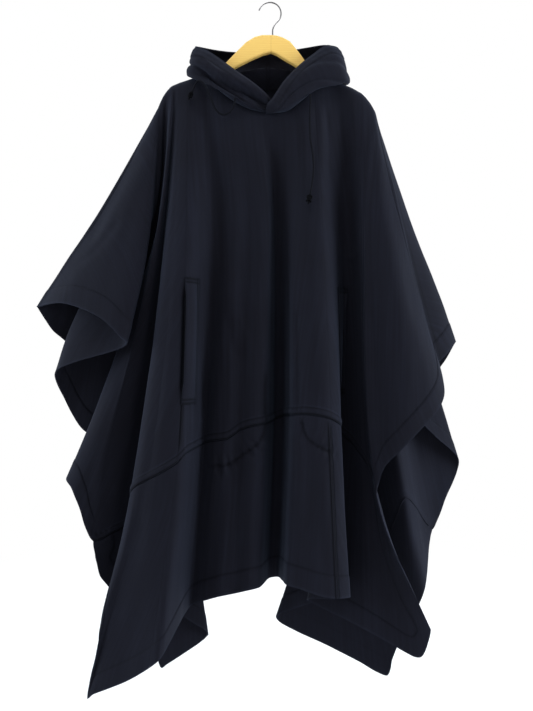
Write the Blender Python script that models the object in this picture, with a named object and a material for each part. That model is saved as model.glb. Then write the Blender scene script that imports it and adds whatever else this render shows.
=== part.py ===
"""Hooded poncho on a coat hanger.

A square-cut poncho of heavy dark cloth hangs from a wooden hanger.  Its front
and its back are each cut in six pieces, joined by the shoulder and overarm
seams, two long seams through the pockets and a seam above the lower band.
The hood is made of two halves that cross at the throat.  Every piece is a
cloth wall on one smooth sheet, worked out from a table with a row for each
fold.

Metres, +Z up.  The front faces -Y and the wearer's right arm is towards -X.
The origin is the inner top of the hanger's hook, where a rod would carry it.
"""
import math

import bmesh
import bpy
import numpy as np
from mathutils import Vector

MM = 0.001

# Driving sizes.
CLOTH = 1.6 * MM                 # thickness of the cloth
SEAM_GAP = 0.3 * MM              # between two pieces at a seam
SMALL_FACE = 4.0 * MM * MM       # faces below this size count less towards the normals
SHOULDER_ROLL = 9.6 * MM         # cloth in front of, or behind, the hanger's middle plane
SHOULDER_DROP = 0.035            # share of the way down at which the roll ends
SHOULDER_END = 14.0 * MM         # over this length the roll thins out to the overarm seam
ROLL_PAST_NECK = 3.0 * MM        # the cloth's roll stands this far past the neck seam
ROWS_TO_UPPER = 3                # rows of quads from the roll to a fold's upper point
ROWS_BELOW = 4                   # rows of quads from there to the lower seam or the side edge
SEAM_ROW = 1 + ROWS_TO_UPPER + ROWS_BELOW
BAND_ROWS = 3                    # rows of quads in the lower band
COLUMNS_PER_FOLD = 2             # columns of quads from one fold line to the next
HOOD_ROWS_PER_PART = 2           # rows of quads from one point of a hood line to the next
HOOD_LIFT = {"front": 3.2 * MM, "neck": 3.2 * MM, "back": 2.25 * MM}  # above the panels' top row
HOOD_LAP = {"left tip": 8.0 * MM, "left lap": 6.0 * MM}  # in front of the right tip, at the throat
SLOPE_REACH = 8                  # each way along the neck seam, where its slope is taken, millimetres
CURVE_STEPS = 12                 # points worked out between two points of a fold line
WOOD_THICKNESS = 14.0 * MM
WOOD_EDGE = 3.0 * MM             # rounding of the hanger's edges
HOOK_WIRE = 1.5 * MM             # radius of the hook's wire
HOOK_CENTRE = (0.0, -22.0)       # x, z of the hook's round part, millimetres
HOOK_RADIUS = 23.5               # to the middle of the wire, millimetres
CORD_RADIUS = 2.0 * MM

# Fold lines from the wearer's right (-X) to the left, in millimetres.
# The first and last rows are the overarm seams.  Each row runs from the
# shoulder line or neck seam (top) over two points on the cloth to its end.
# Between the two rows called LOWER_SEAM the third point lies on the seam
# above the band and the line ends at the hem or the lower side edge.
# Outside them it ends at the side edge, above that seam.
LOWER_SEAM = "lower seam at the edge"
FRONT_FOLDS = [
    # name, top, upper, lower, end
    ("overarm seam", (-239, 0, -234), (-366, 0, -452), (-427, 0, -544), (-488, 0, -639)),
    ("sleeve top", (-237, 0, -228), (-324, -30, -449), (-371, -40, -549), (-421, -50, -634)),
    ("sleeve front", (-235, 0, -223), (-280, -45, -452), (-305, -64, -565), (-335, -85, -666)),
    ("first roll, outer", (-232, 0, -218), (-251, -48, -457), (-269, -72, -594), (-291, -98, -706)),
    ("first roll, tip", (-230, 0, -213), (-243, -41, -460), (-259, -64, -599), (-282, -89, -715)),
    ("first roll, inner", (-229, 0, -209), (-243, -33, -460), (-267, -50, -607), (-298, -74, -726)),
    ("second layer", (-226.5, 0, -204), (-244, -26, -461), (-301, -42, -619), (-357, -62, -743)),
    ("second roll, inner", (-224, 0, -199), (-244, -21, -460), (-354, -34, -622), (-422, -48, -763)),
    ("second roll, tip", (-221.5, 0, -194.5), (-247, -14, -459), (-386, -19, -623), (-443, -28, -780)),
    ("third layer, outer", (-219, 0, -191), (-248, -6, -458), (-369, -1, -649), (-432, -4, -827)),
    ("third layer", (-216.5, 0, -187), (-247, 2, -457), (-324, 6, -676), (-394, 5, -896)),
    ("third roll, tip", (-214, 0, -184), (-239, 7, -456), (-276, 9, -697), (-329, 7, -942)),
    ("hidden layer", (-211.5, 0, -181), (-233, 0, -457), (-281, -6, -718), (-370, -14, -976)),
    ("fourth roll, tip", (-209, 0, -178), (-230, -13, -457), (-322, -31, -757), (-413, -43, -990)),
    ("fourth roll, outer", (-206.5, 0, -176), (-228, -27, -457), (-308, -47, -757), (-400, -60, -1004)),
    ("fourth layer", (-204, 0, -174.5), (-227, -38, -459), (-290, -56, -761), (-381, -64, -1048)),
    (LOWER_SEAM, (-201.5, 0, -173.3), (-224, -45, -458), (-355, -61, -1113), (-350, -60, -1145)),
    ("fourth layer, inner", (-199, 0, -172.3), (-219, -43, -458), (-320, -50, -1099), (-343, -55, -1185)),
    ("side valley", (-196, 0, -171), (-215, -28, -455), (-286, -36, -1083), (-319, -46, -1220)),
    ("side ridge", (-192.5, 0, -169.5), (-207, -41, -451), (-269, -113, -1005), (-315, -123, -1216)),
    ("side face", (-189, 0, -168), (-199, -51, -450), (-254, -128, -989), (-332, -137, -1317)),
    ("right corner", (-185, 0, -166.7), (-190, -56, -449), (-240, -131, -981), (-348, -131, -1394)),
    ("right corner, hem", (-182, 0, -166), (-186, -58, -448), (-233, -132, -977), (-338, -136, -1384)),
    ("right hem", (-178, 0, -164.7), (-179, -60, -446), (-216, -136, -968), (-272, -150, -1352)),
    ("front ridge", (-171, 0, -162.2), (-168, -61, -442), (-177, -133, -944), (-225, -164, -1320)),
    ("front ridge edge", (-162, 0, -159), (-155, -57, -439), (-165, -124, -930), (-207, -166, -1304)),
    ("pocket slope", (-149, 0, -154.5), (-138, -44, -434), (-150, -88, -924), (-180, -108, -1264)),
    ("pocket valley", (-133, -12, -166), (-117, -28, -431), (-134, -50, -918), (-161, -56, -1245)),
    ("chest, right", (-111, -19, -184), (-90, -36, -432), (-112, -67, -911), (-126, -72, -1227)),
    ("chest", (-89, -24, -204), (-64, -40, -432), (-85, -75, -906), (-96, -83, -1215)),
    ("chest crease", (-66, -28, -221), (-41, -38, -433), (-60, -72, -889), (-67, -84, -1209)),
    ("middle ridge", (-43, -30, -233), (-20, -45, -433), (-30, -86, -879), (-41, -96, -1199)),
    ("middle ridge edge", (-26, -31, -238), (-5, -42, -433), (-11, -76, -876), (-21, -82, -1198)),
    ("middle valley", (-6, -32, -241), (10, -16, -435), (10, -14, -872), (-2, -26, -1198)),
    ("middle valley, left", (15, -32, -241), (24, -20, -435), (29, -18, -865), (17, -28, -1195)),
    ("box edge, right", (37, -31, -237), (45, -38, -433), (46, -84, -858), (34, -104, -1186)),
    ("box, right", (56, -28, -222), (63, -50, -430), (64, -101, -855), (59, -122, -1188)),
    ("box, middle", (75, -24, -204), (83, -57, -429), (92, -113, -857), (97, -134, -1197)),
    ("box, left", (91, -19, -188), (103, -54, -429), (118, -110, -864), (131, -129, -1203)),
    ("box edge, left", (109, -13, -172), (116, -45, -430), (137, -96, -876), (154, -112, -1207)),
    ("box, folded back", (129, 0, -163), (134, -26, -430), (141, -50, -886), (122, -66, -1228)),
    ("left valley", (145, 0, -168), (156, -12, -431), (139, -6, -896), (78, -16, -1247)),
    ("left slope", (160, 0, -174), (171, -19, -431), (168, -20, -919), (146, -38, -1274)),
    ("left slope, low", (172, 0, -179), (180, -31, -431), (187, -42, -945), (196, -64, -1292)),
    ("left hem", (181, 0, -184), (183, -36, -431), (199, -50, -964), (249, -79, -1316)),
    ("left corner, hem", (186, 0, -187), (185, -39, -431), (204, -56, -975), (272, -89, -1326)),
    ("left corner", (190, 0, -189), (187, -41, -431), (207, -60, -982), (286, -94, -1331)),
    ("left edge", (193, 0, -191), (188, -43, -431), (209, -65, -989), (296, -95, -1330)),
    ("left edge, low", (195, 0, -193), (190, -45, -431), (211, -71, -998), (305, -95, -1315)),
    ("left edge, middle", (198, 0, -196), (192, -47, -431), (211, -78, -1005), (311, -94, -1295)),
    (LOWER_SEAM, (201, 0, -199), (193, -48, -431), (209, -85, -1012), (315, -92, -1277)),
    ("wing, low", (204, 0, -203), (199, -50, -431), (211, -74, -730), (225, -89, -960)),
    ("wing, middle", (208, 0, -208), (211, -52, -428), (228, -81, -709), (250, -96, -932)),
    ("wing", (212, 0, -214), (225, -53, -426), (260, -85, -690), (289, -96, -891)),
    ("wing, high", (216, 0, -221), (237, -50, -424), (283, -78, -674), (330, -82, -849)),
    ("wing roll", (219, 0, -227), (248, -44, -422), (301, -62, -667), (348, -64, -815)),
    ("overarm seam", (221, 0, -233), (257, -35, -417), (309, -39, -632), (342, -44, -755)),
]
BACK_FOLDS = [
    # name, top, upper, lower, end
    ("overarm seam", (-239, 0, -234), (-366, 0, -452), (-427, 0, -544), (-488, 0, -639)),
    ("sleeve back", (-235, 0, -223), (-339, 14, -457), (-403, 16, -569), (-459, 12, -688)),
    ("sleeve back, low", (-231, 0, -213), (-315, 20, -464), (-372, 26, -600), (-435, 22, -711)),
    ("wing", (-227, 0, -204), (-290, 26, -472), (-326, 33, -664), (-366, 34, -819)),
    ("wing roll", (-223, 0, -196), (-272, 31, -475), (-294, 43, -717), (-318, 44, -950)),
    ("wing, low", (-217, 0, -187), (-256, 30, -478), (-280, 43, -771), (-311, 47, -1060)),
    (LOWER_SEAM, (-211, 0, -180), (-243, 24, -479), (-304, 46, -1127), (-300, 45, -1160)),
    ("right edge", (-205, 0, -175), (-234, 22, -477), (-294, 42, -1102), (-279, 42, -1267)),
    ("right corner, edge", (-198, 0, -172), (-226, 26, -474), (-275, 36, -1073), (-243, 36, -1385)),
    ("right corner", (-192, 0, -169), (-221, 28, -471), (-265, 38, -1056), (-234, 37, -1414)),
    ("right corner, hem", (-187, 0, -167), (-215, 30, -469), (-254, 41, -1042), (-225, 41, -1409)),
    ("right hem", (-172, 0, -162), (-193, 34, -459), (-218, 55, -1012), (-174, 58, -1382)),
    ("right fold, outer", (-157, 0, -157), (-167, 36, -452), (-184, 62, -987), (-139, 67, -1359)),
    ("right fold, inner", (-147, 4, -156), (-159, 34, -451), (-176, 53, -979), (-138, 53, -1340)),
    ("right fold, front", (-136, 10, -159), (-148, 31, -449), (-179, 44, -969), (-162, 41, -1320)),
    ("right fold, hidden", (-124, 14, -163), (-134, 26, -446), (-184, 34, -954), (-201, 29, -1281)),
    ("right of the middle", (-105, 17, -166), (-119, 22, -442), (-162, 26, -942), (-170, 19, -1256)),
    ("back valley, right", (-84, 20, -169), (-94, 26, -437), (-124, 30, -930), (-132, 23, -1230)),
    ("back ridge, right", (-56, 22, -171), (-64, 35, -431), (-82, 45, -919), (-94, 38, -1211)),
    ("back ridge, middle", (-31, 23, -172), (-38, 38, -428), (-47, 50, -909), (-58, 46, -1201)),
    ("back middle", (-4, 23, -173), (-8, 31, -428), (-8, 34, -900), (-17, 28, -1191)),
    ("back valley, left", (23, 23, -172), (24, 26, -431), (30, 26, -904), (26, 21, -1197)),
    ("back ridge, left", (51, 22, -171), (56, 33, -432), (74, 34, -913), (73, 25, -1221)),
    ("left fold, hidden", (74, 20, -169), (87, 36, -435), (114, 41, -927), (126, 36, -1249)),
    ("left fold, front", (93, 17, -166), (104, 38, -440), (122, 53, -937), (105, 50, -1272)),
    ("left fold, inner", (108, 12, -162), (116, 39, -441), (121, 62, -947), (49, 59, -1295)),
    ("left fold, tip", (121, 6, -160), (128, 40, -443), (121, 70, -956), (16, 69, -1313)),
    ("left fold, outer", (137, 0, -166), (141, 39, -446), (131, 78, -969), (24, 83, -1334)),
    ("left hem", (154, 0, -171), (159, 34, -451), (162, 74, -992), (116, 79, -1377)),
    ("left hem, low", (169, 0, -178), (176, 28, -456), (194, 62, -1039), (198, 62, -1412)),
    ("left corner", (181, 0, -184), (189, 26, -459), (218, 52, -1081), (256, 50, -1436)),
    ("left edge, low", (187, 0, -187), (195, 24, -461), (232, 44, -1105), (264, 45, -1404)),
    ("left edge, strip", (192, 0, -190), (200, 21, -462), (252, 34, -1128), (277, 38, -1364)),
    ("inner ridge", (196.5, 0, -194.5), (205, 14, -465), (285, 4, -1040), (326, 10, -1240)),
    ("inner face", (200, 0, -198.5), (212, 22, -464), (324, 37, -1082), (343, 46, -1179)),
    (LOWER_SEAM, (203, 0, -202), (217, 27, -463), (355, 60, -1120), (352, 60, -1131)),
    ("inner wing", (206, 0, -205), (221, 30, -462), (314, 52, -798), (389, 72, -1052)),
    ("inner roll, outer", (208.5, 0, -208), (226, 31, -461), (338, 52, -754), (415, 71, -990)),
    ("inner roll, tip", (210.5, 0, -211), (228, 27, -461), (334, 42, -732), (410, 57, -962)),
    ("inner wing, front", (212.5, 0, -214), (230, 22, -461), (301, 30, -728), (367, 37, -924)),
    ("hidden wing", (214, 0, -217), (231, 17, -461), (269, 19, -718), (323, 22, -884)),
    ("hidden roll, tip", (215.5, 0, -220), (233, 11, -461), (256, 8, -703), (283, 6, -844)),
    ("outer wing, back", (217, 0, -223), (243, 6, -456), (292, 0, -670), (323, -2, -804)),
    ("outer wing", (218, 0, -225.5), (266, 3, -449), (332, -2, -638), (366, -6, -751)),
    ("outer roll", (219, 0, -228), (286, -4, -440), (349, -11, -604), (385, -14, -712)),
    ("outer roll, front", (220, 0, -230.5), (277, -18, -428), (332, -28, -618), (364, -34, -735)),
    ("overarm seam", (221, 0, -233), (257, -35, -417), (309, -39, -632), (342, -44, -755)),
]

# The long seams through the pockets run down these fold lines.
FRONT_LONG_SEAMS = ("front ridge", "box, left")
BACK_LONG_SEAMS = ("right fold, outer", "left fold, outer")

# The hood from the throat round its right half, the back and the left half.
# side: the sheet whose neck seam carries the line; neck_x: where on that seam.
HOOD_FOLDS = [
    # name, side, neck_x, lower roll, crease, band, edge
    ("right tip", "front", 4, (4, -37, -236), (5, -37, -233), (6, -41, -229), (7, -41, -224)),
    ("right lap", "front", -16, (-18, -42, -236), (-16, -35, -222), (-11, -44, -216), (-10, -38, -204)),
    ("right collar", "front", -43, (-45, -46, -228), (-43, -33, -209), (-38, -47, -198), (-38, -34, -179)),
    ("right roll", "front", -70, (-73, -45, -214), (-72, -29, -195), (-65, -47, -183), (-62, -28, -160)),
    ("right roll, wide", "front", -100, (-105, -41, -198), (-104, -31, -177), (-96, -43, -165),
     (-83, -20, -142)),
    ("right side, front", "front", -127, (-138, -34, -180), (-136, -26, -163), (-127, -38, -149),
     (-106, -14, -123)),
    ("right side", "front", -145, (-160, -22, -167), (-163, -19, -153), (-152, -30, -133),
     (-131, -12, -106)),
    ("right end", "neck", -151, (-171, -4, -156), (-174, -2, -149), (-165, -10, -120), (-154, -3, -93)),
    ("right side, back", "back", -146, (-168, 18, -147), (-170, 22, -131), (-160, 20, -104),
     (-148, 10, -88)),
    ("right back", "back", -128, (-141, 34, -143), (-140, 40, -123), (-133, 36, -99), (-123, 24, -87)),
    ("right back fold", "back", -94, (-96, 30, -144), (-97, 41, -130), (-95, 44, -100), (-90, 32, -88)),
    ("right hump", "back", -52, (-53, 15, -137), (-53, 34, -139), (-54, 47, -105), (-51, 36, -88)),
    ("middle back", "back", -4, (-4, 11, -132), (-4, 34, -137), (-4, 48, -105), (-4, 37, -91)),
    ("left hump", "back", 44, (41, 15, -135), (41, 34, -139), (44, 47, -101), (46, 36, -83)),
    ("left back fold", "back", 86, (88, 30, -144), (89, 41, -130), (89, 43, -96), (86, 30, -79)),
    ("left back", "back", 112, (136, 32, -148), (136, 36, -129), (132, 32, -97), (115, 19, -80)),
    ("left side, back", "back", 124, (160, 18, -164), (159, 20, -145), (151, 18, -107), (136, 9, -87)),
    ("left end", "neck", 129, (166, -4, -169), (163, -4, -151), (153, -8, -118), (142, -3, -97)),
    ("left side", "front", 124, (158, -25, -179), (154, -32, -170), (139, -34, -135), (119, -12, -95)),
    ("left side, front", "front", 110, (133, -38, -187), (122, -44, -169), (106, -42, -142),
     (92, -16, -114)),
    ("left roll, wide", "front", 92, (98, -44, -197), (87, -50, -182), (75, -46, -160), (68, -22, -135)),
    ("left roll", "front", 66, (67, -47, -216), (59, -53, -202), (51, -50, -182), (45, -32, -160)),
    ("left collar", "front", 39, (37, -48, -233), (32, -54, -222), (28, -52, -205), (24, -41, -188)),
    ("left lap", "front", 15, (12, -49, -243), (11, -54, -236), (10, -53, -226), (8, -48, -215)),
    ("left tip", "front", -6, (-8, -47, -245), (-8, -52, -242), (-7, -54, -237), (-5, -53, -231)),
]
HOOD_SEAM = "middle back"

# Pocket welts: the panel's columns at their sides, as a fold line and half
# steps past it, their top and bottom heights, and how clear of the panel they lie.
WELTS = [
    # node, first fold, steps, last fold, steps, top, bottom, clear
    ("pocket_welt_right", "front ridge", 0, "pocket slope", 0, -588, -833, 0.5),
    ("pocket_welt_left", "box, folded back", 0, "left valley", 1, -602, -818, 1.6),
]

# Outlines of the hanger's two halves, x and z in millimetres, from the top of
# the joint out to the arm's end and back along the underside.
HANGER_RIGHT = [(2.3, -69), (-16, -69), (-32, -73), (-50, -84), (-70, -104), (-91, -126),
                (-118, -146), (-151, -165.5), (-178, -174.5), (-202, -189), (-210, -198), (-213, -207),
                (-209, -213), (-196, -207), (-180, -197), (-150, -182), (-110, -161), (-74, -138),
                (-37, -119), (-16, -110), (2.3, -105)]
HANGER_LEFT = [(2.6, -69), (14, -70), (27, -74), (42, -82), (60, -104), (78, -129),
               (100, -151.8), (128, -173.2), (165, -188), (190, -200), (201, -209), (205, -217),
               (202, -223), (188, -218), (162, -206), (126, -190), (95, -167), (63, -139),
               (29, -119), (15, -110), (2.6, -105)]

# Drawcords from the hood's casing to their knots, millimetres.
CORD_ROUTES = {
    "drawcord_right": [(-71, -45.5, -216.6), (-73, -44, -231), (-80, -41, -242), (-94, -38, -248),
                       (-108, -37, -241), (-120, -38, -218), (-130, -43, -194), (-139, -46, -184),
                       (-146, -44, -181), (-153, -39, -188), (-160, -33, -200)],
    "drawcord_left": [(82, -46.3, -208.7), (82, -48, -220), (81.5, -47, -238), (81, -45, -268),
                      (82, -48, -300), (86, -54, -330), (88, -59, -362), (85, -62, -392),
                      (80, -65.2, -418)],
}
KNOT_SIZE = {"knot_right": (5.5, 5.0, 6.5), "knot_left": (6.5, 6.0, 8.5)}

NAVY = ((0.020, 0.024, 0.038, 1.0), 0.85, 0.0)
WOOD = ((0.78, 0.55, 0.28, 1.0), 0.42, 0.0)
STEEL = ((0.80, 0.80, 0.82, 1.0), 0.22, 1.0)


def clear_scene():
    for obj in list(bpy.data.objects):
        bpy.data.objects.remove(obj, do_unlink=True)


def material(name, colour, roughness, metallic):
    found = bpy.data.materials.get(name)
    if found:
        return found
    made = bpy.data.materials.new(name)
    made.use_nodes = True
    shader = made.node_tree.nodes["Principled BSDF"]
    shader.inputs["Base Color"].default_value = colour
    shader.inputs["Roughness"].default_value = roughness
    shader.inputs["Metallic"].default_value = metallic
    return made


def add_object(name, mesh, finish_name, finish):
    mesh.materials.append(material(finish_name, *finish))
    obj = bpy.data.objects.new(name, mesh)
    bpy.context.scene.collection.objects.link(obj)
    return obj


# Smooth curves

def smooth_curve(points, steps):
    """Points on a centripetal Catmull-Rom curve: `steps` for each span, plus the last."""
    pts = np.asarray(points, float)
    ends = np.vstack([2 * pts[0] - pts[1], pts, 2 * pts[-1] - pts[-2]])
    curve = []
    for i in range(len(pts) - 1):
        p0, p1, p2, p3 = ends[i:i + 4]
        t0 = 0.0
        t1 = t0 + math.sqrt(max(np.linalg.norm(p1 - p0), 1e-6))
        t2 = t1 + math.sqrt(max(np.linalg.norm(p2 - p1), 1e-6))
        t3 = t2 + math.sqrt(max(np.linalg.norm(p3 - p2), 1e-6))
        for step in range(steps):
            t = t1 + (t2 - t1) * step / steps
            a1 = ((t1 - t) * p0 + (t - t0) * p1) / (t1 - t0)
            a2 = ((t2 - t) * p1 + (t - t1) * p2) / (t2 - t1)
            a3 = ((t3 - t) * p2 + (t - t2) * p3) / (t3 - t2)
            b1 = ((t2 - t) * a1 + (t - t0) * a2) / (t2 - t0)
            b2 = ((t3 - t) * a2 + (t - t1) * a3) / (t3 - t1)
            curve.append(((t2 - t) * b1 + (t - t1) * b2) / (t2 - t1))
    curve.append(pts[-1])
    return np.array(curve)


def even_points(curve, count):
    """`count` + 1 points at equal distances along a curve."""
    lengths = np.r_[0, np.cumsum(np.linalg.norm(np.diff(curve, axis=0), axis=1))]
    wanted = np.linspace(0, lengths[-1], count + 1)
    return np.stack([np.interp(wanted, lengths, curve[:, k]) for k in range(3)], axis=1)


# Cloth sheets and their walls

def grid_normals(points, cloth=1.0):
    """Normals at a grid's points, from the faces round each; `cloth` is 0 where a face has none."""
    faces = np.cross(points[1:, 1:] - points[:-1, :-1], points[:-1, 1:] - points[1:, :-1]) * -1
    faces = faces / np.maximum(np.linalg.norm(faces, axis=2, keepdims=True), SMALL_FACE) * cloth
    normals = np.zeros_like(points)
    for i in (0, 1):
        for j in (0, 1):
            normals[i:len(points) - 1 + i, j:points.shape[1] - 1 + j] += faces
    return normals / np.maximum(np.linalg.norm(normals, axis=2, keepdims=True), 1e-12)


class Sheet:
    """A grid of points on the cloth's middle surface, with its outward normals."""

    def __init__(self, names, lines, flip, seam_row=None):
        self.names = names
        rows = len(lines[0])
        spans = [smooth_curve([line[row] for line in lines], COLUMNS_PER_FOLD) for row in range(rows)]
        self.points = np.stack(spans, axis=1)
        cloth = np.ones((len(self.points) - 1, rows - 1, 1))
        if seam_row:
            cloth[:self.column(LOWER_SEAM), seam_row:] = 0.0
            cloth[self.column(LOWER_SEAM, last=True):, seam_row:] = 0.0
        self.normals = grid_normals(self.points, cloth) * (-1 if flip else 1)

    def column(self, name, last=False):
        found = [i for i, n in enumerate(self.names) if n == name]
        return (found[-1] if last else found[0]) * COLUMNS_PER_FOLD


def half_seam(points, axis, first, last):
    """Draws a grid's first or last line in by half a seam's gap."""
    moved = points.copy()
    lines = np.moveaxis(moved, axis, 0)
    for wanted, edge, inner in ((first, 0, 1), (last, -1, -2)):
        if wanted:
            step = lines[inner] - lines[edge]
            length = np.linalg.norm(step, axis=1, keepdims=True)
            lines[edge] = lines[edge] + step / length * SEAM_GAP / 2
    return moved


def wall_mesh(name, points, normals, lift=0.0):
    """A closed cloth wall on a grid of points."""
    columns, rows = points.shape[:2]
    outer = points + normals * (CLOTH / 2 + lift)
    inner = points + normals * (lift - CLOTH / 2)
    bm = bmesh.new()
    front = [[bm.verts.new(outer[i, j]) for j in range(rows)] for i in range(columns)]
    back = [[bm.verts.new(inner[i, j]) for j in range(rows)] for i in range(columns)]
    for i in range(columns - 1):
        for j in range(rows - 1):
            corners = [(i, j), (i, j + 1), (i + 1, j + 1), (i + 1, j)]
            if np.linalg.norm(points[i, j] - points[i + 1, j + 1]) > np.linalg.norm(
                    points[i, j + 1] - points[i + 1, j]):
                corners = corners[1:] + corners[:1]
            for three in (corners[:3], corners[2:] + corners[:1]):
                bm.faces.new([front[c][r] for c, r in three])
                bm.faces.new([back[c][r] for c, r in reversed(three)])
    rims = [((i, j), (i + 1, j)) for i in range(columns - 1) for j in (0, rows - 1)]
    rims += [((i, j), (i, j + 1)) for j in range(rows - 1) for i in (0, columns - 1)]
    for (a, b), (c, d) in rims:
        bm.faces.new((front[a][b], front[c][d], back[c][d]))
        bm.faces.new((front[a][b], back[c][d], back[a][b]))
    bmesh.ops.recalc_face_normals(bm, faces=bm.faces)
    mesh = bpy.data.meshes.new(name)
    bm.to_mesh(mesh)
    bm.free()
    mesh.shade_smooth()
    mesh.set_sharp_from_angle(angle=math.radians(50))
    return mesh


def add_cloth(name, points, normals, lift=0.0):
    return add_object(name, wall_mesh(name, points, normals, lift), "cloth", NAVY)


def fold_line(row, side, seam_line, end_tops):
    """One fold line's points from the shoulder to its end, `side` -1 in front and +1 behind."""
    top, upper, lower, end = (np.array(point, float) * MM for point in row[1:])
    lean = SEAM_GAP / 2 + CLOTH / 2
    to_end = min(np.linalg.norm(top - np.array(other) * MM) for other in end_tops)
    top[1] += side * lean
    roll = top + (upper - top) * SHOULDER_DROP
    if row[0] == "overarm seam":
        for point in (upper, lower, end):
            point[1] += side * lean
        roll[1] = top[1] + (upper[1] - top[1]) * SHOULDER_DROP
    else:
        depth = lean + (SHOULDER_ROLL - lean) * min(1.0, to_end / SHOULDER_END)
        roll[1] = side * max(depth, abs(top[1]) + ROLL_PAST_NECK * (to_end > SHOULDER_END))
    curve = smooth_curve([top, roll, upper, lower, end], CURVE_STEPS)
    above = even_points(curve[CURVE_STEPS:2 * CURVE_STEPS + 1], ROWS_TO_UPPER)
    if seam_line:
        below = even_points(curve[2 * CURVE_STEPS:3 * CURVE_STEPS + 1], ROWS_BELOW)
        band = even_points(curve[3 * CURVE_STEPS:], BAND_ROWS)
    else:
        below = even_points(curve[2 * CURVE_STEPS:], ROWS_BELOW)
        band = np.repeat(below[-1:], BAND_ROWS + 1, axis=0)
    return np.vstack([top, above, below[1:], band[1:]])


def body_sheet(folds, side):
    names = [row[0] for row in folds]
    first_seam = names.index(LOWER_SEAM)
    last_seam = len(names) - 1 - names[::-1].index(LOWER_SEAM)
    end_tops = (folds[0][1], folds[-1][1])
    lines = [fold_line(row, side, first_seam <= i <= last_seam, end_tops)
             for i, row in enumerate(folds)]
    return Sheet(names, lines, side > 0, SEAM_ROW)


def cut_panel(sheet, name, first, last, rows, gaps):
    """Cuts a panel out of a sheet; `gaps` says which of its four edges is a seam."""
    before, after, above, below = gaps
    part = sheet.points[first:last + 1, rows[0]:rows[1] + 1]
    part = half_seam(part, 0, before, after)
    part = half_seam(part, 1, above, below)
    add_cloth(name, part, sheet.normals[first:last + 1, rows[0]:rows[1] + 1])


def build_body(sheet, label, long_seams):
    """The six pieces of the front or of the back."""
    hem_row = SEAM_ROW + BAND_ROWS
    band_first = sheet.column(LOWER_SEAM)
    band_last = sheet.column(LOWER_SEAM, last=True)
    right, left = (sheet.column(name) for name in long_seams)
    end = len(sheet.points) - 1
    upper, band = (0, SEAM_ROW), (SEAM_ROW, hem_row)
    cut_panel(sheet, label + "_wing_right", 0, right, upper, (False, True, False, True))
    cut_panel(sheet, label + "_centre", right, left, upper, (True, True, False, True))
    cut_panel(sheet, label + "_wing_left", left, end, upper, (True, False, False, True))
    cut_panel(sheet, label + "_band_right", band_first, right, band, (False, True, True, False))
    cut_panel(sheet, label + "_band_centre", right, left, band, (True, True, True, False))
    cut_panel(sheet, label + "_band_left", left, band_last, band, (True, False, True, False))


# Pockets

def build_welts(sheet):
    """Each pocket's welt follows its panel's columns, just outside it."""
    for node, first_fold, first_steps, last_fold, last_steps, top, bottom, clear in WELTS:
        first, last = sheet.column(first_fold) + first_steps, sheet.column(last_fold) + last_steps
        points, normals = [], []
        for column in range(first, last + 1):
            line, facing = sheet.points[column], sheet.normals[column]
            inside = [j for j in range(len(line)) if bottom * MM < line[j, 2] < top * MM]
            picks = [top * MM] + [line[j, 2] for j in inside] + [bottom * MM]
            points.append([[np.interp(-z, -line[:, 2], line[:, k]) for k in range(3)] for z in picks])
            normals.append([[np.interp(-z, -line[:, 2], facing[:, k]) for k in range(3)] for z in picks])
        fewest = min(len(column) for column in points)
        assert all(len(column) == fewest for column in points)
        add_cloth(node, np.array(points), np.array(normals), lift=CLOTH + clear * MM)


# Hood

def neck_edge(folds, side, x, lift):
    """A point above the top row of the front or back sheet at a given x, in metres."""
    tops = sorted((row[1] for row in folds), key=lambda point: point[0])
    xs = [point[0] for point in tops]
    y = np.interp(x, xs, [point[1] for point in tops]) * MM + side * (SEAM_GAP + CLOTH) / 2
    heights = [point[2] for point in tops]
    low, z, high = (np.interp(x + step, xs, heights) for step in (-SLOPE_REACH, 0, SLOPE_REACH))
    slope = (high - low) / (2 * SLOPE_REACH)
    return np.array([x * MM, y, z * MM + lift * math.hypot(1, slope)])


def hood_line(row):
    name, side, neck_x = row[:3]
    if side == "back":
        start = neck_edge(BACK_FOLDS, 1, neck_x, HOOD_LIFT[side])
    else:
        start = neck_edge(FRONT_FOLDS, -1, neck_x, HOOD_LIFT[side])
    if side == "neck":
        start[1] = 0.0
    start[1] -= HOOD_LAP.get(name, 0.0)
    rest = [np.array(point, float) * MM for point in row[3:]]
    return smooth_curve([start] + rest, HOOD_ROWS_PER_PART)


def build_hood():
    names = [row[0] for row in HOOD_FOLDS]
    sheet = Sheet(names, [hood_line(row) for row in HOOD_FOLDS], flip=False)
    middle = sheet.column(HOOD_SEAM)
    rows = (0, sheet.points.shape[1] - 1)
    cut_panel(sheet, "hood_right", 0, middle, rows, (False, True, False, False))
    cut_panel(sheet, "hood_left", middle, len(sheet.points) - 1, rows, (True, False, False, False))


# Hanger

def build_hanger_arm(name, outline):
    half = WOOD_THICKNESS / 2
    bm = bmesh.new()
    face = bm.faces.new([bm.verts.new((x * MM, -half, z * MM)) for x, z in outline])
    extruded = bmesh.ops.extrude_face_region(bm, geom=[face])
    moved = [item for item in extruded["geom"] if isinstance(item, bmesh.types.BMVert)]
    bmesh.ops.translate(bm, verts=moved, vec=(0, WOOD_THICKNESS, 0))
    bmesh.ops.recalc_face_normals(bm, faces=bm.faces)
    joint_x = outline[0][0] * MM
    rims = [e for e in bm.edges
            if abs(e.verts[0].co.y - e.verts[1].co.y) < 1e-6
            and not all(abs(v.co.x - joint_x) < 1e-6 for v in e.verts)]
    bmesh.ops.bevel(bm, geom=rims, offset=WOOD_EDGE, segments=2, profile=0.5, affect="EDGES")
    mesh = bpy.data.meshes.new(name)
    bm.to_mesh(mesh)
    bm.free()
    mesh.shade_smooth()
    mesh.set_sharp_from_angle(angle=math.radians(40))
    return add_object(name, mesh, "wood", WOOD)


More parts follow.
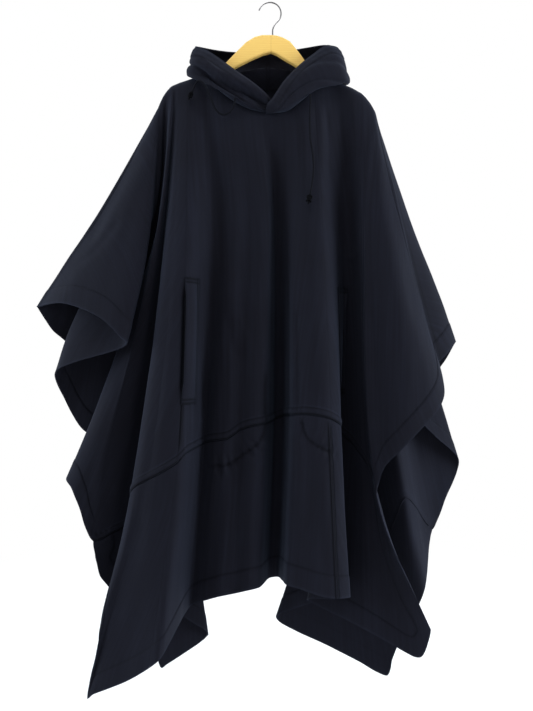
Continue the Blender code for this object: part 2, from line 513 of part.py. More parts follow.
def tube(name, points, radius, resolution, finish_name, finish):
    curve = bpy.data.curves.new(name, "CURVE")
    curve.dimensions = "3D"
    curve.bevel_depth = radius
    curve.bevel_resolution = resolution
    curve.use_fill_caps = True
    spline = curve.splines.new("POLY")
    spline.points.add(len(points) - 1)
    for target, point in zip(spline.points, points):
        target.co = (*point, 1.0)
    curve.materials.append(material(finish_name, *finish))
    obj = bpy.data.objects.new(name, curve)
    bpy.context.scene.collection.objects.link(obj)
    return obj


def build_hook():
    cx, cz = HOOK_CENTRE
    wood_top = HANGER_LEFT[0][1]
    shank = [(6, 0, wood_top + 0.3), (6, 0, -56), (10, 0, -46)]
    arc = []
    for degrees in range(-52, 165, 12):
        angle = math.radians(degrees)
        arc.append((cx + HOOK_RADIUS * math.cos(angle), 0, cz + HOOK_RADIUS * math.sin(angle)))
    route = smooth_curve(np.array(shank + arc) * MM, 2)
    tube("hanger_hook", route, HOOK_WIRE, 2, "steel", STEEL)


# Drawcords

def build_cords():
    for cord, knot in (("drawcord_right", "knot_right"), ("drawcord_left", "knot_left")):
        route = np.array(CORD_ROUTES[cord], float) * MM
        size = np.array(KNOT_SIZE[knot]) * MM
        heading = route[-1] - route[-2]
        heading /= np.linalg.norm(heading)
        curve = smooth_curve(route, 6)
        length = np.linalg.norm(np.diff(curve, axis=0), axis=1).sum()
        points = even_points(curve, round(length / (5 * CORD_RADIUS)))
        tube(cord, points, CORD_RADIUS, 2, "cord", NAVY)
        bm = bmesh.new()
        bmesh.ops.create_uvsphere(bm, u_segments=10, v_segments=7, radius=1.0)
        mesh = bpy.data.meshes.new(knot)
        bm.to_mesh(mesh)
        bm.free()
        turn = Vector((0, 0, -1)).rotation_difference(Vector(heading)).to_matrix()
        centre = Vector(route[-1] + heading * (size[2] + SEAM_GAP))
        for vert in mesh.vertices:
            vert.co = turn @ Vector([vert.co[k] * size[k] for k in range(3)]) + centre
        mesh.shade_smooth()
        add_object(knot, mesh, "cord", NAVY)


def main():
    clear_scene()
    front = body_sheet(FRONT_FOLDS, -1)
    back = body_sheet(BACK_FOLDS, 1)
    build_body(front, "front", FRONT_LONG_SEAMS)
    build_body(back, "back", BACK_LONG_SEAMS)
    build_welts(front)
    build_hood()
    build_hanger_arm("hanger_arm_right", HANGER_RIGHT)
    build_hanger_arm("hanger_arm_left", HANGER_LEFT)
    build_hook()
    build_cords()


main()
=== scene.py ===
"""Looks of the hooded poncho on its hanger.

The packed model is the frame.  Each cloth wall of the frame is read as a grid
of columns and rows, the front and the back are joined along their seams and
refined into smooth cloth, and every piece is then cut from them again with its
raised seams, hems, creases and stitching.  Metres, +Z up, the front faces -Y.
"""
import math

import bmesh
import bpy
import numpy as np
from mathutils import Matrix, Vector, noise
from mathutils.bvhtree import BVHTree


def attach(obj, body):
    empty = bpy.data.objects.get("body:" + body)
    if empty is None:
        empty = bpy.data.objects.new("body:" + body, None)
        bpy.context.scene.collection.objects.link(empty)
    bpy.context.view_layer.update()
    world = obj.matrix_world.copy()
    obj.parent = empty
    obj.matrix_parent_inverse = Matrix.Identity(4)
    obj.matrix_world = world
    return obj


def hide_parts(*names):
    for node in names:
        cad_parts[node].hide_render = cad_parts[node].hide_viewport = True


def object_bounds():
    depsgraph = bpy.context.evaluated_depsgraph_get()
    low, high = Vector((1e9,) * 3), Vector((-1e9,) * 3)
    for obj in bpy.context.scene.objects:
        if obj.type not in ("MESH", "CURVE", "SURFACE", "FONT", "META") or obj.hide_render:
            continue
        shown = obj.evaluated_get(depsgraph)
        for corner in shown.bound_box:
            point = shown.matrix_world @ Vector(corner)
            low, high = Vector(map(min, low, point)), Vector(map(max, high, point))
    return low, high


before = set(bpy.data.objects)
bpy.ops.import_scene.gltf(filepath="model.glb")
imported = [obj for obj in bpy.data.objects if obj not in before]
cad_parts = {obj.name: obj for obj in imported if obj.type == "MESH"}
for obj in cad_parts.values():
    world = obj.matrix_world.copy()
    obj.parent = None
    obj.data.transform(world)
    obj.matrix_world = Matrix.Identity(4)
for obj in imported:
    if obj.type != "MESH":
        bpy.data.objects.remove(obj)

bl_info = {
    "name": "Hooded Poncho on a Hanger",
    "version": (1, 0, 0),
    "blender": (4, 5, 0),
    "location": "View3D > Sidebar > Poncho",
    "description": "Dresses a hanging hooded poncho with cloth, seams, pockets, cords and its hanger",
    "category": "Object",
}

MM = 0.001
BOX_OF_FRAME = [list(corner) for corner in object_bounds()]

# How the frame's cloth walls are made up.
WALL = 1.6 * MM                    # thickness of the frame's cloth
SEAM_GAP = 0.3 * MM                # between two of its pieces
WELD = 0.01 * MM                   # corners closer than this are one
SAME_LENGTH = 0.0004 * MM          # an edge this close to WALL runs across a rim
UPPER_ROWS, BAND_ROWS, HOOD_ROWS = 9, 4, 9
RIGHT_TO_LEFT, FRONT_TO_BACK = np.array((1.0, 0, 0)), np.array((0, 1.0, 0))
DOWN = np.array((0, 0, -1.0))
PANELS = ("wing_right", "centre", "wing_left")
BANDS = ("band_right", "band_centre", "band_left")
INNER_GROOVE_SHADE = 0.4                  # how strongly the painted groove shade shows on the cloth's inner side
SHARP_ANGLE = math.radians(65)     # edges with a wider turn than this are sharp

made = {}                          # what one operator leaves for the next


# What a user would change

def a_length(name, description, default, low, high, unit=MM):
    """A length, given in millimetres or another unit."""
    return bpy.props.FloatProperty(name=name, description=description, default=default * unit,
                                   min=low * unit, max=high * unit, unit="LENGTH")


def a_number(name, description, default, high, subtype="NONE"):
    """A strength or a share, from nothing up to `high`."""
    return bpy.props.FloatProperty(name=name, description=description, default=default,
                                   min=0, max=high, subtype=subtype)


def a_colour(name, description, default):
    """A colour as linear red, green and blue."""
    return bpy.props.FloatVectorProperty(name=name, description=description, default=default,
                                         subtype="COLOR", min=0, max=1)


class PonchoCloth(bpy.types.PropertyGroup):
    """The cloth of the garment."""
    thickness: a_length("Cloth thickness", "Thickness of one layer of the cloth", 1.6, 0.8, 3)
    front_spacing: a_length("Front grid", "Widest spacing of the front's points", 6.7, 3, 20)
    back_spacing: a_length("Back grid", "Widest spacing of the back's points", 8.6, 3, 20)
    hood_spacing: a_length("Hood grid", "Widest spacing of the hood's points", 4, 2, 20)
    ripple: a_length("Ripple", "Height of the soft unevenness between the folds", 1.3, 0, 4)
    twill_pitch: a_length("Twill pitch", "Distance from one rib of the weave to the next", 0.9, 0.4, 3)
    colour: a_colour("Cloth colour", "Dark navy of the cloth", (0.0058, 0.0060, 0.0098))
    fleck: a_colour("Fleck colour", "Lighter yarns and worn edges", (0.0140, 0.0158, 0.0265))
    sheen: a_number("Sheen", "Strength of the cloth's soft sheen", 0.05, 1, "FACTOR")


class PonchoSeams(bpy.types.PropertyGroup):
    """Seams, hems and their stitching."""
    raised: a_length("Raised seam", "Height of the folded seam above the cloth", 1.9, 0, 3)
    band_width: a_length("Lower seam's width", "Width of the raised band above the lower seam",
                         16, 6, 40)
    long_width: a_length("Long seam's width", "Width between a long seam and its outer stitching",
                         8, 4, 20)
    hem_width: a_length("Hem width", "Depth of the turned hem all round", 42, 10, 80)
    stitch_pitch: a_length("Stitch pitch", "Distance from one stitch to the next", 4.6, 2, 10)
    stitch_length: a_length("Stitch length", "Length of the thread that shows in one stitch", 3.7, 1, 9)
    thread: a_length("Thread", "Thickness of the sewing thread", 0.6, 0.2, 2)
    thread_colour: a_colour("Thread colour", "Colour of the sewing thread", (0.0035, 0.004, 0.006))


class PonchoCords(bpy.types.PropertyGroup):
    """The hood's drawcords."""
    diameter: a_length("Cord diameter", "Thickness of the braided cord", 4, 2, 8)
    colour: a_colour("Cord colour", "Colour of the braided cord", (0.0040, 0.0044, 0.0066))


class PonchoHanger(bpy.types.PropertyGroup):
    """The wooden hanger and its hook."""
    wood: a_colour("Wood colour", "Pale varnished wood", (0.85, 0.585, 0.17))
    grain: a_colour("Grain colour", "Darker lines of the grain", (0.74, 0.435, 0.10))
    steel: a_colour("Steel colour", "Polished hook", (0.30, 0.30, 0.31))


class PonchoStage(bpy.types.PropertyGroup):
    """Floor, light and camera."""
    camera_distance: a_length("Camera distance", "From the hanger's plane to the camera",
                              1.40, 0.5, 10, unit=1)
    camera_height: a_length("Camera height", "Height of the camera, measured from the hook",
                            -0.74, -2, 2, unit=1)
    floor_drop: a_length("Floor below the hem", "Distance from the lowest corner to the floor",
                         0.07, 0, 2, unit=1)
    side_light: a_number("Side light", "Power of each side light", 60.0, 500)
    sky: a_number("Room light", "Brightness of the white room", 1.0, 5)
    dim: a_number("Camera's side", "Brightness of the room on the camera's side", 0.30, 1, "FACTOR")


GROUPS = {"poncho_cloth": PonchoCloth, "poncho_seams": PonchoSeams, "poncho_cords": PonchoCords,
          "poncho_hanger": PonchoHanger, "poncho_stage": PonchoStage}


def smoothstep(x):
    """Goes smoothly from 0 to 1 while `x` does, and stays there beyond."""
    x = np.clip(x, 0.0, 1.0)
    return x * x * (3 - 2 * x)


def bell(x):
    """A rounded rise of height 1 at zero, and about 1 wide to each side."""
    return np.exp(-x * x)


# Materials

WHITE = (1.0, 1.0, 1.0, 1.0)


class Nodes:
    """A short way to add and join the nodes of one tree."""

    def __init__(self, tree):
        self.tree = tree

    def add(self, kind, inputs=None, **settings):
        """A new node; each input is given a value or another node's output."""
        node = self.tree.nodes.new(kind)
        for key, value in settings.items():
            setattr(node, key, value)
        for key, value in (inputs or {}).items():
            self.put(node.inputs[key], value)
        return node

    def put(self, socket, value):
        if isinstance(value, bpy.types.NodeSocket):
            self.tree.links.new(value, socket)
        else:
            socket.default_value = value

    def maths(self, operation, first, second=0.0):
        return self.add("ShaderNodeMath", {0: first, 1: second}, operation=operation).outputs[0]

    def between(self, share, low, high):
        return self.add("ShaderNodeMapRange", {0: share, 3: low, 4: high}).outputs[0]


class Finish(Nodes):
    """The nodes of a new material."""

    def __init__(self, name):
        self.material = bpy.data.materials.new(name)
        self.material.use_nodes = True
        super().__init__(self.material.node_tree)
        self.shader = self.tree.nodes["Principled BSDF"]
        self.place = self.add("ShaderNodeTexCoord").outputs

    def shade(self, **values):
        for key, value in values.items():
            self.put(self.shader.inputs[key.replace("_", " ")], value)

    def mixed(self, factor, first, second):
        return self.add("ShaderNodeMix", {0: factor, 6: first, 7: second}, data_type="RGBA").outputs[2]

    def specks(self, place, scale, detail=2.0, roughness=0.5):
        return self.add("ShaderNodeTexNoise", {"Vector": place, "Scale": scale, "Detail": detail,
                                               "Roughness": roughness}).outputs["Fac"]

    def bands(self, place, direction, **values):
        """Wavy bands; `values` are its inputs from Scale to Detail_Scale."""
        inputs = {key.replace("_", " "): value for key, value in values.items()}
        return self.add("ShaderNodeTexWave", {"Vector": place, **inputs},
                        wave_type="BANDS", bands_direction=direction).outputs["Fac"]

    def bump(self, height, strength, distance):
        return self.add("ShaderNodeBump", {"Height": height, "Strength": strength,
                                           "Distance": distance}).outputs[0]


def rgba(colour, share=1.0):
    return (*(c * share for c in colour), 1.0)


def cloth_material(name):
    """Heavy twill: fine diagonal ribs, flecked yarns, lighter rubbed edges, and painted shade along
    grooves and stitched lines.
    """
    cloth = bpy.context.scene.poncho_cloth
    n = Finish(name)
    flat = n.place["UV"]
    per_rib = n.add("ShaderNodeVectorMath", {0: flat, 3: 1.0 / cloth.twill_pitch}, operation="SCALE")
    ribs = n.bands(per_rib.outputs[0], "DIAGONAL", Scale=0.314, Distortion=0.6, Detail=1.0,
                   Detail_Scale=0.5)
    down = n.add("ShaderNodeMapping", {"Vector": flat, "Scale": (150.0, 5.0, 1.0)}).outputs[0]
    yarns, slubs, streaks = n.specks(flat, 900.0), n.specks(flat, 160.0), n.specks(down, 1.0, 3.0)
    patches = n.specks(n.place["Object"], 7.0, 3.0, 0.6)
    rubbed, painted_groove_shade = (n.add("ShaderNodeAttribute", attribute_name=key).outputs["Fac"]
                    for key in ("rubbed", "painted_groove_shade"))
    light = n.maths("MULTIPLY", n.maths("MULTIPLY", yarns, ribs), 0.55)
    for value, middle, share in ((patches, 0.5, 0.5), (rubbed, 0.0, 0.35), (streaks, 0.5, 0.7)):
        light = n.maths("ADD", light, n.maths("MULTIPLY", n.maths("SUBTRACT", value, middle), share))
    colour = n.mixed(light, rgba(cloth.colour), rgba(cloth.fleck))
    # Painted shade: the colour goes darker where grooves and stitched lines lie.
    colour = n.mixed(n.maths("MULTIPLY", painted_groove_shade, 0.8), colour, rgba(cloth.colour, 0.12))
    height = n.maths("ADD", ribs, n.maths("MULTIPLY", slubs, 0.8))
    n.shade(Base_Color=colour, Roughness=n.between(patches, 0.78, 0.92),
            Normal=n.bump(height, 0.5, 0.12 * MM), Specular_IOR_Level=0.06,
            Sheen_Weight=cloth.sheen, Sheen_Roughness=0.45, Sheen_Tint=(0.50, 0.65, 1.0, 1.0))
    return n.material


def thread_material(name):
    """Twisted sewing thread with a dull shine."""
    colour = bpy.context.scene.poncho_seams.thread_colour
    n = Finish(name)
    twist = n.specks(n.place["Object"], 2400.0, 1.0)
    n.shade(Base_Color=n.mixed(twist, rgba(colour, 0.7), rgba(colour, 1.3)), Roughness=0.7,
            Normal=n.bump(twist, 0.4, 0.1 * MM), Specular_IOR_Level=0.06)
    return n.material


def cord_material(name, share=1.0):
    """Braided cotton cord, `share` of its colour; the braid itself is in the mesh."""
    colour = bpy.context.scene.poncho_cords.colour
    n = Finish(name)
    fuzz = n.specks(n.place["Object"], 1500.0)
    n.shade(Base_Color=n.mixed(fuzz, rgba(colour, 0.6 * share), rgba(colour, 1.5 * share)),
            Roughness=0.85, Normal=n.bump(fuzz, 0.6, 0.15 * MM), Specular_IOR_Level=0.05)
    return n.material


def shaded_knot_material(name):
    """The cord in its knot at 0.4 of its colour: painted shade between the knot's crossing strands."""
    return cord_material(name, 0.4)


def wood_material(name):
    """Pale wood with long grain under a clear varnish."""
    hanger = bpy.context.scene.poncho_hanger
    n = Finish(name)
    along = n.add("ShaderNodeMapping", {"Vector": n.place["Object"], "Scale": (9.0, 60.0, 70.0),
                                        "Rotation": (0.0, 0.12, 0.06)}).outputs[0]
    lines = n.bands(along, "Z", Scale=1.2, Distortion=5.0, Detail=3.0, Detail_Scale=1.4)
    pores = n.specks(along, 9.0, 4.0)
    shade = n.maths("ADD", n.maths("MULTIPLY", lines, 0.35), n.maths("MULTIPLY", pores, 0.35))
    n.shade(Base_Color=n.mixed(shade, rgba(hanger.wood), rgba(hanger.grain)),
            Roughness=n.between(pores, 0.34, 0.5), Normal=n.bump(pores, 0.15, 0.1 * MM),
            Specular_IOR_Level=0.25, Coat_Weight=0.12, Coat_Roughness=0.2)
    return n.material


def joint_material(name):
    """Darker end grain and glue where the hanger's arms meet."""
    grain = bpy.context.scene.poncho_hanger.grain
    n = Finish(name)
    specks = n.specks(n.place["Object"], 900.0)
    n.shade(Base_Color=n.mixed(specks, rgba(grain, 0.35), rgba(grain, 0.7)), Roughness=0.6,
            Specular_IOR_Level=0.2)
    return n.material


def steel_material(name):
    """Polished wire with fine drawing marks along it."""
    n = Finish(name)
    marks = n.specks(n.place["Object"], 700.0, 3.0)
    n.shade(Base_Color=rgba(bpy.context.scene.poncho_hanger.steel), Metallic=1.0,
            Roughness=n.between(marks, 0.12, 0.26))
    return n.material


def floor_material(name):
    """Pale floor that goes over into the white room."""
    n = Finish(name)
    away = n.add("ShaderNodeVectorMath", {0: n.place["Object"]}, operation="LENGTH").outputs["Value"]
    share = n.add("ShaderNodeMapRange", {0: away, 1: 0.5, 2: 1.5}, interpolation_type="SMOOTHSTEP")
    tone = n.mixed(n.specks(n.place["Object"], 40.0), (0.84, 0.85, 0.86, 1.0), (0.88, 0.88, 0.89, 1.0))
    n.shade(Base_Color=tone, Roughness=0.7, Specular_IOR_Level=0.2)
    glow = n.add("ShaderNodeEmission", {"Color": WHITE, "Strength": bpy.context.scene.poncho_stage.sky})
    mix = n.add("ShaderNodeMixShader", {0: share.outputs[0], 1: n.shader.outputs[0], 2: glow.outputs[0]})
    n.put(n.tree.nodes["Material Output"].inputs[0], mix.outputs[0])
    return n.material


FINISHES = {"navy_twill": cloth_material, "sewing_thread": thread_material,
            "braided_cord": cord_material, "knot_painted_shade_cord": shaded_knot_material,
            "varnished_wood": wood_material, "joint_wood": joint_material,
            "polished_steel": steel_material, "pale_floor": floor_material}


def finish_of(name):
    """A material, made when it is first asked for."""
    return bpy.data.materials.get(name) or FINISHES[name](name)


# Reading the frame's cloth walls as grids

def wall_faces(node):
    """A wall's corners, and its outer and inner face as triangles, without the rim."""
    bm = bmesh.new()
    bm.from_mesh(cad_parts[node].data)
    bmesh.ops.remove_doubles(bm, verts=bm.verts, dist=WELD)
    bm.verts.index_update()
    corners = np.array([v.co[:] for v in bm.verts])
    faces = [tuple(v.index for v in f.verts) for f in bm.faces]
    bm.free()
    group = list(range(len(corners)))

    def head(a):
        while group[a] != a:
            a = group[a]
        return a

    def crosses(a, b):
        return abs(np.linalg.norm(corners[a] - corners[b]) - WALL) < SAME_LENGTH

    kept = [f for f in faces if not any(crosses(f[k], f[k - 1]) for k in range(3))]
    for a, b, c in kept:
        group[head(b)] = head(a)
        group[head(c)] = head(a)
    sides = {}
    for face in faces:
        owners = {head(corner) for corner in face}
        if len(owners) == 1:
            sides.setdefault(owners.pop(), []).append(face)
    if len(sides) != 2:
        raise RuntimeError(f"{node} isn't a wall of two faces")
    return corners, list(sides.values())


def walk_grid(loop, start, step, rows, columns, faces, by_edge):
    """Follows a face column by column from one border point; None where it isn't such a grid."""
    used = set()

    def far_corner(a, b):
        for n in by_edge.get(frozenset((a, b)), ()):
            if n not in used:
                used.add(n)
                return next(c for c in faces[n] if c not in (a, b))
        return None

    def border(n):
        return loop[(start + step * n) % len(loop)]

    grid = [[border(j) for j in range(rows)]]
    for i in range(1, columns):
        before, line = grid[-1], [border(-i)]
        for j in range(rows - 1):
            far = far_corner(before[j], before[j + 1])
            if far == line[j]:
                far = far_corner(line[j], before[j + 1])
            elif far is not None and far_corner(before[j], far) != line[j]:
                return None
            if far is None:
                return None
            line.append(far)
        grid.append(line)
    return grid if len(used) == len(faces) else None


def face_grid(corners, faces, rows, across, down):
    """One face's points as columns and rows, in the direction of `across` and `down`."""
    by_edge = {}
    for n, face in enumerate(faces):
        for a, b in zip(face, face[1:] + face[:1]):
            by_edge.setdefault(frozenset((a, b)), []).append(n)
    beside = {}
    for edge, owners in by_edge.items():
        if len(owners) == 1:
            a, b = edge
            beside.setdefault(a, []).append(b)
            beside.setdefault(b, []).append(a)
    loop = [next(iter(beside))]
    loop.append(beside[loop[0]][0])
    while True:
        ahead = next(v for v in beside[loop[-1]] if v != loop[-2])
        if ahead == loop[0]:
            break
        loop.append(ahead)
    columns = len(loop) // 2 - rows + 2
    for start in range(len(loop)):
        for step in (1, -1):
            grid = walk_grid(loop, start, step, rows, columns, faces, by_edge)
            if grid is None:
                continue
            points = corners[np.array(grid)]
            if ((points[-1].mean(0) - points[0].mean(0)) @ across > 0
                    and (points[:, -1].mean(0) - points[:, 0].mean(0)) @ down > 0):
                return points
    raise RuntimeError("a cloth wall of the frame isn't a grid")


def wall_grid(node, rows, across=RIGHT_TO_LEFT, down=DOWN):
    """The middle surface of a cloth wall."""
    corners, sides = wall_faces(node)
    outer, inner = (face_grid(corners, faces, rows, across, down) for faces in sides)
    return (outer + inner) / 2


def side_by_side(parts):
    """Grids next to each other as one, with the gap at each seam closed."""
    joined = parts[0]
    for part in parts[1:]:
        seam = (joined[-1:] + part[:1]) / 2
        joined = np.concatenate([joined[:-1], seam, part[1:]])
    return joined


# Smooth curves through grids

def smooth_lines(points, steps, before=None, after=None):
    """Centripetal curves along the first axis: steps[i] points for span i, plus the last."""
    first = 2 * points[:1] - points[1:2] if before is None else before[None]
    last = 2 * points[-1:] - points[-2:-1] if after is None else after[None]
    ends = np.concatenate([first, points, last])
    curve = []
    for i, count in enumerate(steps):
        p0, p1, p2, p3 = ends[i:i + 4]
        knots = [0.0]
        for a, b in ((p0, p1), (p1, p2), (p2, p3)):
            length = np.maximum(np.linalg.norm(b - a, axis=-1, keepdims=True), 1e-6)
            knots.append(knots[-1] + np.sqrt(length))
        t0, t1, t2, t3 = knots
        for step in range(count):
            t = t1 + (t2 - t1) * step / count
            a1 = ((t1 - t) * p0 + (t - t0) * p1) / (t1 - t0)
            a2 = ((t2 - t) * p1 + (t - t1) * p2) / (t2 - t1)
            a3 = ((t3 - t) * p2 + (t - t2) * p3) / (t3 - t2)
            b1 = ((t2 - t) * a1 + (t - t0) * a2) / (t2 - t0)
            b2 = ((t3 - t) * a2 + (t - t1) * a3) / (t3 - t1)
            curve.append(((t2 - t) * b1 + (t - t1) * b2) / (t2 - t1))
    curve.append(points[-1])
    return np.array(curve)


def route_line(route, steps, unit=MM):
    """A curve through a route's points, with the same number of steps between each two."""
    return smooth_lines(np.array(route, float) * unit, [steps] * (len(route) - 1))


def arc_lengths(points):
    """Distance along the first axis, from its start."""
    steps = np.linalg.norm(np.diff(points, axis=0), axis=-1)
    return np.concatenate([np.zeros((1, *steps.shape[1:])), np.cumsum(steps, axis=0)])


def at_distances(points, lengths, wanted):
    """Points at wanted distances along the first axis; all arrays have the same lines."""
    result = np.empty((len(wanted), points.shape[1], points.shape[2]))
    for line in range(points.shape[1]):
        for k in range(points.shape[2]):
            result[:, line, k] = np.interp(wanted[:, line], lengths[:, line], points[:, line, k])
    return result


def spread(lengths, near_start, near_end, count):
    """Distances along lines: given ones near both ends, and `count` even steps between."""
    fit = np.minimum(1.0, 0.8 * lengths / (near_start[-1] + near_end[0]))
    first, last = near_start[-1] * fit, near_end[0] * fit
    share = np.linspace(0, 1, count + 1)[1:-1, None]
    middle = first + (lengths - last - first) * share
    return np.concatenate([np.stack([distance * fit for distance in near_start]), middle,
                           np.stack([lengths - distance * fit for distance in near_end])])


def steps_for(points, spacing):
    """How many steps each span of the first axis needs for a spacing, or for one each."""
    widest = np.linalg.norm(np.diff(points, axis=0), axis=-1).reshape(len(points) - 1, -1).max(axis=1)
    return np.maximum(1, np.ceil(widest / spacing).astype(int))


def grid_normals(points):
    """Unit normals of a grid, from the faces round each point."""
    faces = np.cross(points[1:, 1:] - points[:-1, :-1], points[:-1, 1:] - points[1:, :-1])
    faces /= np.maximum(np.linalg.norm(faces, axis=2, keepdims=True), 1e-9)
    normals = np.zeros_like(points)
    for i in (0, 1):
        for j in (0, 1):
            normals[i:len(points) - 1 + i, j:points.shape[1] - 1 + j] += faces
    return normals / np.maximum(np.linalg.norm(normals, axis=2, keepdims=True), 1e-9)


def edge_columns(grid, stops, at_start, at_end):
    """Re-spaces a grid's columns so that some lie at given distances from its side edges."""
    lengths = arc_lengths(grid[..., :3])
    wanted = lengths
    for wish, turn in ((at_start, False), (at_end, True)):
        if not wish:
            continue
        distance = (wanted[-1] - wanted)[::-1] if turn else wanted
        reach = stops[-1]
        clear = [m for m in range(2, len(distance)) if distance[m].min() > reach * 1.6]
        far = clear[0] if clear else len(distance) // 2
        limit = distance[far]
        share = np.minimum(1.0, limit * 0.6 / reach)
        near = np.stack([stop * share for stop in stops])
        moved = near[-1] + distance[1:far] * (limit - near[-1]) / limit
        distance = np.concatenate([near, moved, distance[far:]])
        wanted = (distance[-1] - distance)[::-1] if turn else distance
    return at_distances(grid, lengths, wanted)


# Cloth pieces

class ClothPiece:
    """One cut piece: a fine grid on the cloth's middle surface and its outward normals.

    The grid's channels are the place, the normal and the share of the lower seam.
    """

    def __init__(self, node, grid):
        self.node, self.stitches, self.folds = node, None, None
        self.points, self.normals, self.share = grid[..., :3].copy(), grid[..., 3:6], grid[..., 6]
        self.normals = self.normals / np.linalg.norm(self.normals, axis=2, keepdims=True)
        self.half = bpy.context.scene.poncho_cloth.thickness / 2
        self.lift = np.zeros(grid.shape[:2])
        self.rubbed, self.painted_groove_shade = np.zeros(grid.shape[:2]), np.zeros(grid.shape[:2])
        self.across = arc_lengths(self.points)
        self.down = arc_lengths(self.points.swapaxes(0, 1)).T
        self.sewing = []
        made[node] = self

    def to_last_row(self):
        return self.down[:, -1:] - self.down

    def to_column(self, edge):
        """Distance from the "first" or the "last" column."""
        return self.across if edge == "first" else self.across[-1:] - self.across

    def flip(self):
        """Turns the order of the columns round."""
        for key in ("points", "normals", "share", "lift", "rubbed", "painted_groove_shade", "down"):
            setattr(self, key, getattr(self, key)[::-1].copy())
        self.across = arc_lengths(self.points)

    def surface(self):
        """Points on the outer side of the finished cloth."""
        return self.points + self.normals * (self.lift + self.half)[..., None]

    def groove(self, distance, depth, width, share=1.0):
        """Sinks the cloth along the line where `distance` is zero, and paints shade into its colour
        there.
        """
        shape = share * bell(distance / width)
        self.lift -= depth * shape
        self.painted_groove_shade = np.maximum(self.painted_groove_shade, shape)

    def sew(self, edge, distance, where=None):
        """Notes a line of stitching at a distance from an edge such as "first column"."""
        self.sewing.append((edge, distance, where))

    def sewn_lines(self):
        """The noted lines as rows of a point and a normal."""
        both = np.concatenate([self.surface(), self.normals], axis=2)
        lines = []
        for edge, distance, where in self.sewing:
            grid, lengths = both, self.across
            if "row" in edge:
                grid, lengths = both.swapaxes(0, 1), self.down.T
            wanted = lengths[-1:] - distance if "last" in edge else np.full_like(lengths[-1:], distance)
            found = at_distances(grid, lengths, wanted)[0]
            keep = np.ones(len(found), bool) if where is None else where
            runs = np.split(np.arange(len(found)), np.where(np.diff(keep.astype(int)))[0] + 1)
            lines += [found[run] for run in runs if keep[run[0]] and len(run) > 2]
        return lines


def cloth_mesh(piece):
    """A closed wall on a cloth piece's grid, with its flat place as UV."""
    columns, rows = piece.points.shape[:2]
    outer = piece.surface()
    inner = piece.points + piece.normals * (np.minimum(piece.lift, 0.0) - piece.half)[..., None]
    verts = np.concatenate([outer.reshape(-1, 3), inner.reshape(-1, 3)])
    index = np.arange(columns * rows).reshape(columns, rows)
    quads = np.stack([index[:-1, :-1], index[:-1, 1:], index[1:, 1:], index[1:, :-1]], axis=-1)
    quads = quads.reshape(-1, 4)
    under = quads[:, ::-1] + columns * rows
    border = np.concatenate([index[0], index[1:, -1], index[-1, -2::-1], index[-2:0:-1, 0]])
    ahead = np.roll(border, -1)
    rim = np.stack([ahead, border, border + columns * rows, ahead + columns * rows], axis=-1)
    faces = np.concatenate([quads, under, rim])
    mesh = bpy.data.meshes.new("cloth_" + piece.node)
    mesh.from_pydata(verts.tolist(), [], faces.tolist())
    flat = np.stack([piece.across - piece.across.mean(0, keepdims=True), -piece.down], axis=-1)
    flat = np.concatenate([flat.reshape(-1, 2)] * 2)
    loops = np.empty(len(mesh.loops), np.int32)
    mesh.loops.foreach_get("vertex_index", loops)
    mesh.uv_layers.new(name="flat_cloth").data.foreach_set("uv", flat[loops].astype(np.float32).ravel())
    for name, values, inside in (("rubbed", piece.rubbed, 1.0), ("painted_groove_shade", piece.painted_groove_shade, INNER_GROOVE_SHADE)):
        values = np.clip(values, 0, 1).ravel()
        mesh.attributes.new(name, "FLOAT", "POINT").data.foreach_set(
            "value", np.concatenate([values, values * inside]).astype(np.float32))
    middle = len(quads) // 2 + rows // 2
    outward = piece.normals.reshape(-1, 3)[quads[middle][0]]
    if mesh.polygons[middle].normal.dot(Vector(outward)) < 0:
        mesh.flip_normals()
    mesh.shade_smooth()
    mesh.set_sharp_from_angle(angle=SHARP_ANGLE)
    return mesh


def add_object(name, data):
    obj = bpy.data.objects.new(name, data)
    bpy.context.scene.collection.objects.link(obj)
    return obj


def add_piece(name, mesh, material):
    mesh.materials.append(material)
    obj = add_object(name, mesh)
    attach(obj, "root")
    return obj


def add_cloth(piece):
    """The finished wall of a cloth piece stands for its node."""
    obj = add_piece("cloth_" + piece.node, cloth_mesh(piece), finish_of("navy_twill"))
    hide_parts(piece.node)


RIPPLES_PER_METRE = np.array((14.0, 14.0, 3.2))   # along X, Y and Z
RIPPLE_SEEDS = {"front": 3.0, "back": 41.0, "hood": 77.0}


def ripple_at(points, seed, height):
    """Soft unevenness, longer down the cloth than across it."""
    place = points.reshape(-1, 3) * RIPPLES_PER_METRE + seed
    values = np.array([noise.noise(p) + 0.45 * noise.noise(p * 2.3) + 0.22 * noise.noise(p * 4.2)
                       for p in map(Vector, place)])
    return (values * height).reshape(points.shape[:2])


# The body: front and back sheets, cut into six pieces each

# Distances from an edge or a seam at which a grid has a row or column, close together
# where the cloth is folded or stitched.
TOP_STOPS = (0.0, 2 * MM, 5 * MM)
LOWER_SEAM_STOPS = tuple(d * MM for d in (21, 18, 16.2, 14.6, 13, 10, 6.5, 4.4, 3.2, 2, 0.9, 0))
SIDE_EDGE_STOPS = tuple(d * MM for d in (50, 46, 43.4, 42, 40.6, 36, 28, 20, 12, 6, 1.5, 0))
BAND_START_STOPS = tuple(d * MM for d in (0, 0.9, 2, 4, 7))
LONG_SEAM_STOPS = tuple(d * MM for d in (0, 0.9, 2, 3.2, 5, 6.8, 8, 9.4, 12))
SIDE_STOPS = tuple(d * MM for d in (0, 1.5, 6, 14, 24, 34, 40.6, 42, 43.4, 48))
SHOULDER_HEIGHT = 0.16             # below the hook, where the cloth starts to hang loose
RIPPLE_REACH = 0.35                # over this height the ripples grow to their full size
CENTRE_SHARE = 0.72                # the centre pieces' spacing against the wings'
POCKET_MOUTH = 5.0 * MM            # how far the cloth falls in at the right pocket's mouth
